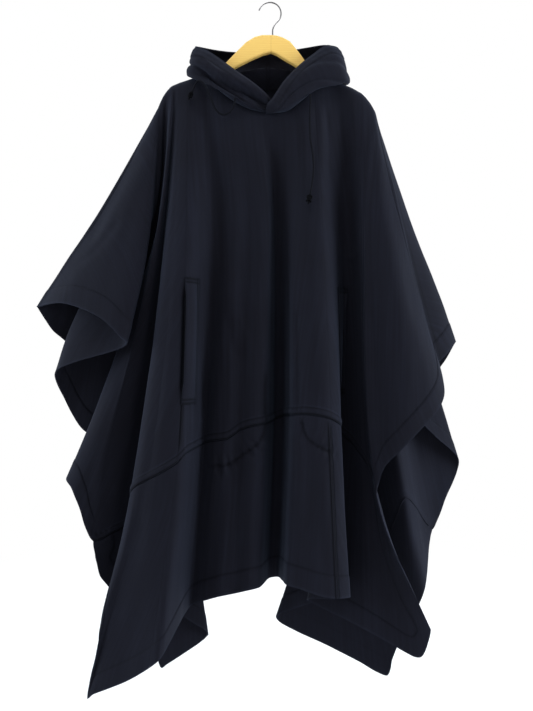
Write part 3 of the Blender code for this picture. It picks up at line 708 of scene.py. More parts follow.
MOUTH_WIDTH = 5 * MM               # and how wide the fall is to each side
MOUTH_INSET, MOUTH_FADE = 12 * MM, 35 * MM   # it starts this far from the welt's ends, and grows
CREASE_FADE = 3.0                  # columns over which a crease fades out at its limits
FINER = 0.7                        # spacing at which curves are worked out, against the grid's
BLEND_COLUMNS = 4.0                # over these the cloth beside the band takes its direction
ROUTE_STEPS = 6                    # steps from one point of a drawn line to the next
FIRST_STITCHES = 2.6 * MM          # from a seam to its first line of stitching
OUTER_STITCHES = {"long": 0.8 * MM, "lower": 1.4 * MM}   # from a seam's outer edge to its second
SEAM_RISE, HEM_RISE = 1.6 * MM, 4 * MM   # over this width the folded cloth rises
RUBBED_EDGE, RUBBED_SEAM = 3 * MM, 2.5 * MM   # half width of the worn, lighter lines
STITCH_FADE = 30 * MM              # over this height a seam's topstitching starts and ends
SEAM_GROOVE, STITCH_GROOVE, HEM_GROOVE = 1.2 * MM, 1.5 * MM, 1.6 * MM   # half width of each line
# Heights between which a long seam is topstitched, for the front's (False) or the back's,
# at the first or the last column of the centre piece.
STITCHED_FROM = {(False, "first"): (-0.586, -0.93), (False, "last"): (-0.86, -2.0),
                 (True, "first"): (-0.2, -2.0), (True, "last"): (-0.2, -2.0)}

# Creases, given one by one.  Each row is the first and last column of the frame's sheet, the
# crease's width and height, and its line as x and z, in millimetres as the cloth hangs.
CREASES = {
    "front": [
        (0, 6, 17, -3.0, [(-262, -300), (-330, -420), (-385, -520)]),
        (0, 6, 15, 1.4, [(-250, -320), (-292, -450), (-338, -570)]),
        (0, 6, 9, -1.2, [(-300, -455), (-352, -520), (-402, -560)]),
        (36, 48, 16, -1.9, [(-205, -330), (-225, -560), (-248, -800)]),
        (36, 48, 12, 1.6, [(-196, -300), (-208, -520), (-222, -760)]),
        (40, 48, 15, -2.2, [(-230, -1010), (-262, -1130), (-300, -1260)]),
        (48, 76, 14, -1.9, [(-118, -230), (-100, -420), (-110, -640), (-118, -820)]),
        (48, 76, 13, 1.6, [(-93, -250), (-72, -430), (-82, -690)]),
        (48, 76, 7, 2.2, [(-61, -648), (-47, -700), (-32, -749)]),
        (48, 76, 12, -2.8, [(-86, -652), (-76, -706), (-62, -756)]),
        (48, 76, 15, -4.5, [(-142, -500), (-137, -700), (-135, -890)]),
        (48, 76, 9, -1.3, [(-44, -250), (-22, -420), (-33, -610)]),
        (48, 76, 7, -1.3, [(-20, -246), (-7, -330)]),
        (48, 76, 7, -1.2, [(31, -246), (27, -345)]),
        (48, 76, 9, 1.3, [(53, -240), (60, -330), (63, -430)]),
        (48, 76, 12, -1.4, [(78, -240), (88, -430), (94, -620)]),
        (64, 88, 6, -1.4, [(92, -216), (94, -290), (92, -372)]),
        (64, 88, 6, 1.2, [(104, -216), (107, -300), (108, -395)]),
        (64, 88, 6, -1.5, [(117, -218), (121, -300), (124, -400)]),
        (64, 88, 7, -1.4, [(143, -224), (149, -300), (154, -410)]),
        (50, 76, 16, -2.4, [(-100, -985), (-112, -1080), (-118, -1190)]),
        (50, 76, 13, 2.0, [(-62, -960), (-68, -1080), (-74, -1190)]),
        (56, 76, 12, -2.2, [(44, -930), (50, -1040), (43, -1170)]),
        (56, 76, 13, -1.8, [(86, -960), (95, -1060), (104, -1180)]),
        (94, 106, 8, 1.6, [(209, -271), (200, -360), (189, -453)]),
        (80, 94, 6, 1.8, [(152, -541), (166, -536), (181, -538)]),
        (80, 94, 14, -2.0, [(165, -300), (168, -500), (172, -740)]),
        (102, 112, 16, -1.8, [(236, -330), (262, -520), (300, -720)]),
        (102, 112, 13, 1.5, [(262, -380), (298, -560), (334, -700)]),
        (88, 102, 14, -2.2, [(205, -1010), (240, -1120), (274, -1230)]),
    ],
    "back": [
        (0, 10, 16, -1.8, [(-262, -320), (-320, -470), (-372, -600)]),
        (0, 12, 14, 1.5, [(-244, -330), (-276, -520), (-300, -740)]),
        (24, 54, 15, -2.0, [(-104, -230), (-112, -460), (-128, -760)]),
        (24, 54, 13, 1.7, [(-72, -250), (-78, -480), (-92, -820)]),
        (24, 54, 11, -1.5, [(-30, -240), (-42, -450), (-54, -640)]),
        (24, 54, 8, 1.5, [(-12, -600), (4, -680), (26, -742)]),
        (24, 54, 12, -1.6, [(36, -230), (40, -440), (52, -720)]),
        (24, 54, 14, 1.6, [(70, -240), (78, -460), (92, -780)]),
        (24, 54, 15, -2.4, [(-112, -960), (-118, -1080), (-126, -1200)]),
        (24, 54, 13, 2.1, [(-20, -930), (-26, -1060), (-34, -1180)]),
        (24, 54, 13, -2.1, [(50, -930), (56, -1060), (54, -1180)]),
        (54, 68, 15, -1.9, [(165, -380), (180, -640), (205, -960)]),
        (54, 68, 13, 1.6, [(150, -300), (158, -560), (172, -860)]),
        (76, 90, 14, -1.7, [(236, -500), (268, -660), (300, -840)]),
    ],
}
# Stitched outlines of the pocket bags on the front: the height of the puckers at the start
# and past the bend, how dark the painted shade along the line is, and its x and z, all in millimetres
# but the shade.
BAG_LINES = [
    (0.5, 3.4, 0.75, [(-10, -770), (-11, -830), (-12, -889), (-24, -913), (-52, -935), (-77, -954),
                      (-126, -962)]),
    (0.3, 0.3, 0.25, [(54, -649), (55, -760), (55, -859)]),
    (1.7, 1.7, 0.75, [(62, -862), (66, -884), (74, -901), (88, -912), (112, -925), (132, -935)]),
]
BAG_PIECES = ("front_centre", "front_band_centre", "front_wing_left")
BAG_COLUMNS = (48, 82)             # columns of the frame's sheet that they lie between
BAG_BEND = 0.42                    # share of the way along at which the puckers start to grow
BAG_GROOVE, BAG_GROOVE_WIDTH = 2.0, 4.5 * MM   # depth in millimetres, and half width
BAG_SHADE_WIDTH = 2.4 * MM         # half width of its line of painted shade
PUCKER_PITCH, PUCKER_WIDTH = 19 * MM, 17 * MM


def to_line(points, line):
    """Distance of each point to a line through given points, and how far along it that is."""
    best, along = np.full(len(points), np.inf), np.zeros(len(points))
    lengths = arc_lengths(line)
    for a, b, start, end in zip(line[:-1], line[1:], lengths[:-1], lengths[1:]):
        share = np.clip((points - a) @ (b - a) / max((b - a) @ (b - a), 1e-12), 0, 1)
        distance = np.linalg.norm(points - a - share[:, None] * (b - a), axis=1)
        closer = distance < best
        best[closer] = distance[closer]
        along[closer] = ((start + share * (end - start)) / lengths[-1])[closer]
    return best, along


def crease_heights(points, starts, first_column, rows):
    """Height of every hand-placed crease at a sheet's points; `rows` are rows of CREASES."""
    heights = np.zeros(points.shape[:2])
    for first, last, width, height, route in rows:
        a = max(starts[first] - first_column, 0)
        b = min(starts[last] - first_column, len(points) - 1)
        if b <= a:
            continue
        line = route_line(route, ROUTE_STEPS)
        part = points[a:b + 1]
        distance, along = to_line(part[..., (0, 2)].reshape(-1, 2), line)
        taper = np.clip(np.minimum(along, 1 - along) * 4, 0, 1)
        columns = np.arange(a, b + 1)
        inside = smoothstep(np.minimum(columns - a, b - columns) / CREASE_FADE)[:, None]
        shape = height * MM * bell(distance / (width * MM)) * smoothstep(taper + 0.1)
        heights[a:b + 1] += shape.reshape(part.shape[:2]) * inside
    return heights


def bag_ends(along):
    """Fades a bag's line in and out at its ends."""
    return smoothstep((1 - along) * 14) * smoothstep(along * 14)


def bag_heights(points, starts, first_column):
    """Grooves and puckers along the pocket bags' stitching."""
    heights = np.zeros(points.shape[:2])
    a = max(starts[BAG_COLUMNS[0]] - first_column, 0)
    b = min(starts[BAG_COLUMNS[1]] - first_column, len(points) - 1)
    part = points[a:b + 1]
    flat = part[..., (0, 2)].reshape(-1, 2)
    for low, high, _, route in BAG_LINES:
        line = route_line(route, ROUTE_STEPS)
        total = arc_lengths(line)[-1]
        distance, along = to_line(flat, line)
        pucker = np.sin(along * total / PUCKER_PITCH * math.tau + 1.3 * np.sin(along * 9.0))
        pucker *= 0.65 + 0.35 * np.sin(along * 23.0)
        pucker *= low + (high - low) * smoothstep((along - BAG_BEND) / 0.15)
        groove = -BAG_GROOVE * bell(distance / BAG_GROOVE_WIDTH)
        shape = (groove + pucker * bell(distance / PUCKER_WIDTH)) * MM * bag_ends(along)
        heights[a:b + 1] += shape.reshape(part.shape[:2])
    return heights


def read_body(label, sign):
    """The front or back of the frame as one upper grid and one band, its seams closed.

    Also the upper grid's first and last column above the band, and those of the long seams.
    """
    upper_parts = [wall_grid(f"{label}_{part}", UPPER_ROWS) for part in PANELS]
    band_parts = [wall_grid(f"{label}_{part}", BAND_ROWS) for part in BANDS]
    upper, band = side_by_side(upper_parts), side_by_side(band_parts)
    first = len(upper_parts[0]) - len(band_parts[0])
    last = first + len(band) - 1
    seam = (upper[first:last + 1, -1] + band[:, 0]) / 2
    upper[first:last + 1, -1] = seam
    band[:, 0] = seam
    lean = (WALL + SEAM_GAP) / 2
    for column in (0, -1):
        upper[column, 1:, 1] -= sign * lean
    top = upper[:, 0, 1]
    top[np.abs(top) < 1.6 * lean] = 0.0
    cuts = (len(upper_parts[0]) - 1, len(upper_parts[0]) + len(upper_parts[1]) - 2)
    return upper, band, (first, last), cuts


def refined_body(upper, band, within, cuts, spacing):
    """Both grids refined; `starts` tells where each column of the frame is now."""
    first, last = within
    place = np.arange(len(upper))
    inside = np.minimum(place - first, last - place)
    down, low = upper.swapaxes(0, 1), band.swapaxes(0, 1)
    beyond = 2 * down[-1] - down[-2]
    onward = beyond.copy()
    onward[first:last + 1] = low[1]
    share = smoothstep(inside / BLEND_COLUMNS)[:, None]
    ahead = beyond * (1 - share) + onward * share
    dense = smooth_lines(down, steps_for(down, spacing * FINER), after=ahead)
    lengths = arc_lengths(dense)
    count = int((lengths[-1].max() - SIDE_EDGE_STOPS[0]) / spacing)
    to_seam = spread(lengths[-1], TOP_STOPS, LOWER_SEAM_STOPS, count)
    to_side = spread(lengths[-1], TOP_STOPS, SIDE_EDGE_STOPS, count)
    seam_share = smoothstep((inside + 1.0) / 3.0)
    upper = at_distances(dense, lengths, to_side * (1 - seam_share) + to_seam * seam_share)
    dense = smooth_lines(low, steps_for(low, spacing * FINER), before=down[-2, first:last + 1])
    lengths = arc_lengths(dense)
    count = int((lengths[-1].max() - SIDE_EDGE_STOPS[0]) / spacing)
    band = at_distances(dense, lengths, spread(lengths[-1], BAND_START_STOPS, SIDE_EDGE_STOPS, count))
    upper, band = upper.swapaxes(0, 1), band.swapaxes(0, 1)
    seam_share = (inside >= 0).astype(float)
    near = np.full(len(upper) - 1, spacing)
    near[cuts[0]:cuts[1]] *= CENTRE_SHARE
    steps = steps_for(upper, near)
    steps[first:last] = np.maximum(steps[first:last], steps_for(band, near[first:last]))
    starts = np.concatenate([[0], np.cumsum(steps)])
    seam_share = np.interp(np.arange(starts[-1] + 1), starts, seam_share)[:, None, None]
    upper = np.concatenate([smooth_lines(upper, steps),
                            seam_share.repeat(upper.shape[1], axis=1)], axis=2)
    return upper, smooth_lines(band, steps[first:last]), starts


def fold_seam(piece, distance, width, raised, stitches, share=1.0):
    """A folded, topstitched seam, `distance` from its line."""
    height = raised * smoothstep((width * 1.12 - distance) / (width * 0.22))
    piece.lift += share * height * smoothstep(distance / SEAM_RISE + 0.15)
    piece.groove(distance, 0.8 * raised, SEAM_GROOVE, share)
    for stitch in stitches:
        piece.groove(distance - stitch, 0.6 * raised, STITCH_GROOVE, share)


def turn_hem(piece, distance, width, raised, share=1.0):
    """A turned hem with the groove of its stitching, `distance` from its edge."""
    piece.lift += share * raised * smoothstep((width + 1.5 * MM - distance) / HEM_RISE)
    piece.groove(distance - width, 0.7 * raised, HEM_GROOVE, 0.4 * share)


def shade_bag_lines(piece):
    """Painted shade along the lines where the pocket bags are stitched through the front."""
    if piece.node not in BAG_PIECES:
        return
    flat = piece.points[..., (0, 2)].reshape(-1, 2)
    for _, _, shade_strength, route in BAG_LINES:
        distance, along = to_line(flat, route_line(route, ROUTE_STEPS))
        shape = bell(distance / BAG_SHADE_WIDTH) * bag_ends(along)
        piece.painted_groove_shade = np.maximum(piece.painted_groove_shade, shade_strength * shape.reshape(piece.painted_groove_shade.shape))


def sheet_heights(label, points, starts, first_column):
    """Ripples, creases and pocket lines of the front or back, at points from `first_column` on."""
    loose = smoothstep((-points[..., 2] - SHOULDER_HEIGHT) / RIPPLE_REACH)
    found = ripple_at(points, RIPPLE_SEEDS[label], bpy.context.scene.poncho_cloth.ripple) * loose
    found += crease_heights(points, starts, first_column, CREASES[label])
    if label == "front":
        found += bag_heights(points, starts, first_column)
    return found


def cut_pieces(label, upper, band, cuts, first, starts):
    """Cuts both grids at the long seams and sews each piece; the band begins at column `first`."""
    edges = (0, starts[cuts[0]], starts[cuts[1]], len(upper) - 1)
    for k, (part, under) in enumerate(zip(PANELS, BANDS)):
        grid = upper[edges[k]:edges[k + 1] + 1]
        frame_columns = [int(s - edges[k]) for s in starts if edges[k] <= s <= edges[k + 1]]
        folds = arc_lengths(grid[..., :3])[frame_columns]
        piece = ClothPiece(f"{label}_{part}", edge_columns(grid, LONG_SEAM_STOPS, k > 0, k < 2))
        piece.folds = folds
        sew_upper(piece, k)
        grid = band[max(edges[k] - first, 0):min(edges[k + 1] - first, len(band) - 1) + 1]
        if k != 1:
            grid = edge_columns(grid, SIDE_STOPS, k == 0, k == 2)
        grid = edge_columns(grid, LONG_SEAM_STOPS, k > 0, k < 2)
        sew_band(ClothPiece(f"{label}_{under}", grid), k)


def cut_body(label, sign, spacing):
    """Makes the six pieces of the front or back, whose outer side faces `sign` along Y."""
    upper, band, within, cuts = read_body(label, sign)
    upper, band, starts = refined_body(upper, band, within, cuts, spacing)
    first, last = starts[within[0]], starts[within[1]]
    rows = upper.shape[1]
    low_rows = slice(rows - 1, rows + band.shape[1] - 1)
    whole = np.concatenate([upper[first:last + 1, :, :3], band[:, 1:]], axis=1)
    facing = np.zeros((len(upper), rows + band.shape[1] - 1, 3))
    facing[:, :rows] = grid_normals(upper[..., :3]) * sign
    facing[first + 1:last] = (grid_normals(whole) * sign)[1:-1]
    facing[(first, last), low_rows] = (grid_normals(band) * sign)[[0, -1]]
    raised = sheet_heights(label, upper[..., :3], starts, 0)
    low = sheet_heights(label, band, starts, first)
    raised[first:last + 1, -1] = low[:, 0]
    points = upper[..., :3] + facing[:, :rows] * raised[..., None]
    low_points = band + facing[first:last + 1, low_rows] * low[..., None]
    low_points[:, 0] = points[first:last + 1, -1]
    made[label + " edge"] = points[:, 0]
    joint = np.concatenate([points[first:last + 1], low_points[:, 1:]], axis=1)
    normals = grid_normals(points) * sign
    joint_normals = grid_normals(joint) * sign
    normals[first + 1:last] = joint_normals[1:-1, :rows]
    upper = np.concatenate([points, normals, upper[..., 3:]], axis=2)
    band = np.concatenate([low_points, joint_normals[:, rows - 1:],
                           np.ones((*low_points.shape[:2], 1))], axis=2)
    cut_pieces(label, upper, band, cuts, first, starts)


def sew_long_seams(piece, k):
    """Raised long seams on the centre piece, and their sinking groove with painted shade on the wings.
    """
    seams = bpy.context.scene.poncho_seams
    for edge, here in (("first", k > 0), ("last", k < 2)):
        if not here:
            continue
        distance = piece.to_column(edge)
        z = piece.points[0 if edge == "first" else -1, :, 2]
        side = "first" if (k, edge) in ((0, "last"), (1, "first")) else "last"
        top, bottom = STITCHED_FROM[piece.node.startswith("back"), side]
        low = (smoothstep((top - z) / STITCH_FADE) * smoothstep((z - bottom) / STITCH_FADE))[None]
        if k == 1:
            lines = (FIRST_STITCHES, seams.long_width - OUTER_STITCHES["long"])
            fold_seam(piece, distance, seams.long_width, 0.6 * seams.raised, lines, low)
            if (low[0] > 0.5).sum() > 2:
                for line in lines:
                    piece.sew(edge + " column", line, low[0] > 0.5)
        piece.groove(distance, 0.4 * seams.raised, SEAM_GROOVE, 0.25 + 0.3 * low)
        if piece.node in ("front_wing_right", "front_centre") and side == "first":
            top, bottom = WELTS["pocket_welt_right"][3:]
            mouth = smoothstep((top - MOUTH_INSET - z) / MOUTH_FADE)
            mouth *= smoothstep((z - bottom - MOUTH_INSET) / MOUTH_FADE)
            piece.groove(distance, POCKET_MOUTH, MOUTH_WIDTH, mouth[None])


def sew_upper(piece, k):
    """Seams, side hem and pocket-bag lines of a piece above the lower seam."""
    seams = bpy.context.scene.poncho_seams
    distance, share = piece.to_last_row(), piece.share
    lines = (FIRST_STITCHES, seams.band_width - OUTER_STITCHES["lower"])
    fold_seam(piece, distance, seams.band_width, seams.raised, lines, share)
    turn_hem(piece, distance, seams.hem_width, 0.5 * seams.raised, 1 - share)
    sewn = share[:, -1] > 0.5
    for line in lines:
        piece.sew("last row", line, sewn)
    if not sewn.all():
        piece.sew("last row", seams.hem_width, ~sewn)
    sew_long_seams(piece, k)
    if k != 1:
        edge = "first" if k == 0 else "last"
        turn_hem(piece, piece.to_column(edge), seams.long_width, 0.4 * seams.raised)
        piece.sew(edge + " column", seams.long_width)
    shade_bag_lines(piece)
    piece.rubbed += share * bell((piece.to_last_row() - seams.band_width) / RUBBED_SEAM)
    piece.rubbed += (1 - share) * bell(piece.to_last_row() / RUBBED_EDGE)


def sew_band(piece, k):
    """Hem, lower side hem and seams of a band piece."""
    seams = bpy.context.scene.poncho_seams
    distance = piece.to_last_row()
    if k != 1:
        edge = "first" if k == 0 else "last"
        above_hem = distance[len(piece.points) // 2] > seams.hem_width * 0.6
        piece.sew(edge + " column", seams.hem_width, above_hem)
        distance = np.minimum(distance, piece.to_column(edge))
    turn_hem(piece, distance, seams.hem_width, 0.5 * seams.raised)
    piece.groove(piece.down, 0.7 * seams.raised, SEAM_GROOVE)
    shade_bag_lines(piece)
    piece.rubbed += bell(distance / RUBBED_EDGE)
    piece.sew("last row", seams.hem_width, distance.max(axis=1) > seams.hem_width * 0.98)
    sew_long_seams(piece, k)


class PONCHO_OT_body(bpy.types.Operator):
    """Sew the front and the back, six pieces each"""
    bl_idname = "poncho.body"
    bl_label = "Front and Back"

    def execute(self, context):
        cloth = context.scene.poncho_cloth
        cut_body("front", -1, cloth.front_spacing)
        cut_body("back", 1, cloth.back_spacing)
        for label in ("front", "back"):
            for part in PANELS + BANDS:
                add_cloth(made[f"{label}_{part}"])
        return {"FINISHED"}


# Pockets

# Each welt: the piece it lies on, the frame's columns at its free and its sewn edge, and the
# heights of its top and its bottom.
WELTS = {
    "pocket_welt_right": ("front_centre", 0, 4, -0.586, -0.835),
    "pocket_welt_left": ("front_wing_left", 7, 4, -0.600, -0.820),
}
WELT_COLUMNS, WELT_ROWS = 22, 120
WELT_LINES = (3.0 * MM, 9.5 * MM)  # its double stitching, from its edges
WELT_OPEN = 5.0 * MM               # how far the free edge stands away at its middle
WELT_SLIT = 4.5 * MM               # how far it draws back from the pocket's mouth there
WELT_THICK = 2.6 * MM
WELT_CLEAR = 0.2 * MM              # between the welt and the cloth under it
WELT_GROOVE = (0.8 * MM, 1.8 * MM)   # depth and half width of its stitched lines


def welt_grid(piece, free, sewn, top, bottom):
    """Points and normals on a piece's outer side, from a welt's free edge to its sewn edge."""
    top_side = piece.points + piece.normals * (np.maximum(piece.lift, 0.0) + piece.half)[..., None]
    both = np.concatenate([top_side, piece.normals], axis=2)
    heights = np.linspace(top, bottom, WELT_ROWS)
    columns = []
    for share in np.linspace(0, 1, WELT_COLUMNS):
        wanted = piece.folds[free] * (1 - share) + piece.folds[sewn] * share
        line = at_distances(both, piece.across, wanted[None])[0]
        columns.append(np.stack([np.interp(-heights, -line[:, 2], line[:, k]) for k in range(6)],
                                axis=-1))
    return np.array(columns)


def build_welt(node):
    """A double welt, sewn down along one side and at both ends, open along the other."""
    on, free, sewn, top, bottom = WELTS[node]
    grid = welt_grid(made[on], free, sewn, top, bottom)
    x = np.linspace(0, 1, WELT_COLUMNS)[:, None]
    z = np.linspace(0, 1, WELT_ROWS)[None]
    open_share = smoothstep(np.minimum(z, 1 - z) * 5)
    width = grid[-1, :, :3] - grid[0, :, :3]
    width /= np.linalg.norm(width, axis=1, keepdims=True)
    grid[..., :3] += width * (WELT_SLIT * open_share * (1 - x))[..., None]
    piece = ClothPiece(node, np.concatenate([grid, np.ones((*grid.shape[:2], 1))], axis=2))
    rise = WELT_OPEN * open_share * (1 - x) ** 1.6
    sides = np.minimum(piece.to_column("first"), piece.to_column("last"))
    ends = np.minimum(piece.down, piece.to_last_row())
    piece.points += piece.normals * (WELT_THICK / 2 + rise + WELT_CLEAR)[..., None]
    for line in WELT_LINES:
        piece.groove(piece.to_column("last") - line, *WELT_GROOVE)
        piece.groove(ends - line, *WELT_GROOVE)
    piece.groove(np.minimum(sides, ends), 0.9 * MM, 1.6 * MM, 0.8)
    piece.rubbed += bell(sides / RUBBED_SEAM)
    piece.half = WELT_THICK / 2
    if free > sewn:
        piece.flip()
    for line in WELT_LINES:
        for edge in ("first column" if free > sewn else "last column", "first row", "last row"):
            piece.sew(edge, line)


class PONCHO_OT_pockets(bpy.types.Operator):
    """Lay the pocket welts on the front"""
    bl_idname = "poncho.pockets"
    bl_label = "Pocket Welts"

    def execute(self, context):
        for node in WELTS:
            build_welt(node)
            add_cloth(made[node])
        return {"FINISHED"}


# Hood

# Distances as for the body's grids, from the neck seam and from the hood's edge.
NECK_STOPS = tuple(d * MM for d in (0, 1.2, 3, 6))
HOOD_EDGE_STOPS = tuple(d * MM for d in (33, 30, 28, 26, 20, 15, 12, 9, 6, 3, 1, 0))
CASING_WIDTH = 28 * MM
CASING_CORD = 10 * MM              # from the hood's edge to the cord in its casing
CASING_START, CASING_FADE = 30 * MM, 20 * MM   # it grows where the hood is deeper than this
CASING_RISE, CASING_RISE_WIDTH = 1.3 * MM, 4 * MM   # of the cloth over that cord
MIDDLE_SEAM, MIDDLE_STITCHES = 6 * MM, 3 * MM   # the middle seam's width and its stitching
NECK_FADE = 20 * MM                # over this height the hood is moved onto the neck's edge
NECK_DROP = 0.8 * MM               # how far its lower edge goes below that
LAP = 2.2 * MM                     # the left tip lies this far in front of the right one
HOOD_FINER = 0.6                   # spacing at which curves are worked out, against the grid's
NECK_CALM, EDGE_CALM = 12 * MM, 10 * MM   # over these heights ripples and creases fade out
# Each crease: share of the way round from the right tip, share of the height, length as a
# share of the way round, and width and height in millimetres.
HOOD_CREASES = [
    (0.15, 0.40, 0.30, 4.0, -6.5), (0.15, 0.62, 0.26, 5, 3.6), (0.80, 0.34, 0.22, 4.5, -5.5),
    (0.10, 0.45, 0.16, 7, 2.6), (0.16, 0.62, 0.14, 6, -2.6), (0.24, 0.40, 0.12, 8, 1.4),
    (0.31, 0.66, 0.10, 6, -1.4), (0.38, 0.35, 0.10, 7, 1.3), (0.46, 0.60, 0.12, 8, -1.5),
    (0.55, 0.42, 0.12, 7, 1.4), (0.63, 0.62, 0.10, 7, -1.4), (0.72, 0.40, 0.12, 8, 1.5),
    (0.79, 0.64, 0.12, 6, -2.8), (0.86, 0.45, 0.14, 7, 2.6), (0.92, 0.60, 0.10, 6, -2.4),
]


def refined_hood(spacing):
    """The hood as one fine grid from its neck seam up, and the column of its middle seam."""
    right = wall_grid("hood_right", HOOD_ROWS, FRONT_TO_BACK, -DOWN)
    left = wall_grid("hood_left", HOOD_ROWS, -FRONT_TO_BACK, -DOWN)
    rising = side_by_side([right, left]).swapaxes(0, 1)
    dense = smooth_lines(rising, steps_for(rising, spacing * HOOD_FINER))
    lengths = arc_lengths(dense)
    count = int((lengths[-1].max() - HOOD_EDGE_STOPS[0]) / spacing)
    wanted = spread(lengths[-1], NECK_STOPS, HOOD_EDGE_STOPS, count)
    grid = at_distances(dense, lengths, wanted).swapaxes(0, 1)
    steps = steps_for(grid, spacing)
    return smooth_lines(grid, steps), int(steps[:len(right) - 1].sum())


def set_on_neck(grid, down):
    """Moves the hood's lower edge onto the body's, and the left tip in front of the right one."""
    edges = [made["front edge"], made["back edge"]]
    for i, column in enumerate(grid):
        reach = [to_line(column[:1], edge) for edge in edges]
        pick = int(reach[1][0][0] < reach[0][0][0])
        edge, along = edges[pick], reach[pick][1][0]
        places = arc_lengths(edge) / arc_lengths(edge)[-1]
        target = np.array([np.interp(along, places, edge[:, k]) for k in range(3)])
        lap = smoothstep((i / (len(grid) - 1) - 0.95) / 0.03)
        shift = target - column[0] + np.array((0, -LAP * lap, -NECK_DROP))
        grid[i] = column + shift * smoothstep(1 - down[i] / NECK_FADE)[:, None]


def hood_heights(grid, down):
    """Ripples and creases of the hood, which fade out at its neck seam and at its edge."""
    around = np.linspace(0, 1, len(grid))[:, None]
    height = np.linspace(0, 1, grid.shape[1])[None]
    shape = ripple_at(grid, RIPPLE_SEEDS["hood"], bpy.context.scene.poncho_cloth.ripple * 0.8)
    for place, level, length, width, rise in HOOD_CREASES:
        across = (height - level - 0.25 * np.sin((around - place) * 9)) * 0.1
        shape = shape + rise * MM * bell(across / (width * MM)) * bell((around - place) / length * 1.6)
    return shape * smoothstep(down / NECK_CALM) * smoothstep((down[:, -1:] - down) / EDGE_CALM)


def sew_hood(piece, edge):
    """One half's middle seam, at its first or last column, its casing and its neck seam."""
    fold_seam(piece, piece.to_column(edge), MIDDLE_SEAM, 0.6 * MM, (MIDDLE_STITCHES,))
    top = piece.to_last_row()
    room = smoothstep((piece.down[:, -1:] - CASING_START) / CASING_FADE)
    turn_hem(piece, top, CASING_WIDTH, 0.9 * MM, room)
    piece.lift += room * CASING_RISE * bell((top - CASING_CORD) / CASING_RISE_WIDTH)
    piece.groove(piece.down, 0.6 * MM, HEM_GROOVE)
    piece.rubbed += bell(top / RUBBED_EDGE)
    piece.sew(edge + " column", MIDDLE_STITCHES)
    piece.sew("last row", CASING_WIDTH, room[:, 0] > 0.5)


def build_hood(spacing):
    """Refines the hood, sets it on the neck and cuts its two halves."""
    grid, middle = refined_hood(spacing)
    down = arc_lengths(grid.swapaxes(0, 1)).T
    set_on_neck(grid, down)
    heights = hood_heights(grid, down)
    grid = grid - grid_normals(grid) * heights[..., None]
    grid = np.concatenate([grid, -grid_normals(grid), np.ones((*grid.shape[:2], 1))], axis=2)
    right = edge_columns(grid[:middle + 1], LONG_SEAM_STOPS, False, True)
    left = edge_columns(grid[middle:], LONG_SEAM_STOPS, True, False)
    sew_hood(ClothPiece("hood_right", right), "last")
    sew_hood(ClothPiece("hood_left", left), "first")


class PONCHO_OT_hood(bpy.types.Operator):
    """Set the two halves of the hood on the neck"""
    bl_idname = "poncho.hood"
    bl_label = "Hood"

    def execute(self, context):
        build_hood(context.scene.poncho_cloth.hood_spacing)
        for node in ("hood_right", "hood_left"):
            add_cloth(made[node])
        return {"FINISHED"}


# Stitching

BAG_STITCHES = 2.5 * MM            # from a bag's line to the stitching on either side of it
BAG_STEPS = 8                      # steps of it from one point of the bag's line to the next


def stitch_tree():
    """Geometry Nodes: a stitch at even steps along sewn lines, turned to the cloth's normal."""
    tree = bpy.data.node_groups.new("sewn_stitches", "GeometryNodeTree")
    for name, way, kind in (("Lines", "INPUT", "Geometry"), ("Pitch", "INPUT", "Float"),
                            ("Stitch length", "INPUT", "Float"), ("Thread", "INPUT", "Float"),
                            ("Material", "INPUT", "Material"), ("Stitches", "OUTPUT", "Geometry")):
        tree.interface.new_socket(name, in_out=way, socket_type="NodeSocket" + kind)
    n = Nodes(tree)

    def add(kind, inputs=None, **settings):
        return n.add(kind, inputs, **settings).outputs[0]

    given = n.add("NodeGroupInput").outputs
    line = add("GeometryNodeMeshToCurve", {0: given["Lines"]})
    line = add("GeometryNodeResampleCurve", {"Curve": line, "Length": given["Pitch"]}, mode="LENGTH")
    along = add("GeometryNodeInputTangent")
    up = add("GeometryNodeInputNamedAttribute", {"Name": "up"}, data_type="FLOAT_VECTOR")
    turned = add("FunctionNodeAlignRotationToVector", {"Vector": along}, axis="X")
    turned = add("FunctionNodeAlignRotationToVector", {"Rotation": turned, "Vector": up},
                 axis="Z", pivot_axis="X")
    bead = add("GeometryNodeMeshUVSphere", {"Segments": 6, "Rings": 3, "Radius": 0.5})
    size = add("ShaderNodeCombineXYZ", {0: given["Stitch length"], 1: given["Thread"],
                                        2: given["Thread"]})
    bead = add("GeometryNodeTransform", {0: bead, "Scale": size})
    sewn = add("GeometryNodeInstanceOnPoints", {"Points": line, "Instance": bead, "Rotation": turned})
    sewn = add("GeometryNodeRealizeInstances", {0: sewn})
    sewn = add("GeometryNodeSetShadeSmooth", {0: sewn})
    sewn = add("GeometryNodeSetMaterial", {0: sewn, "Material": given["Material"]})
    n.add("NodeGroupOutput", {0: sewn})
    return tree


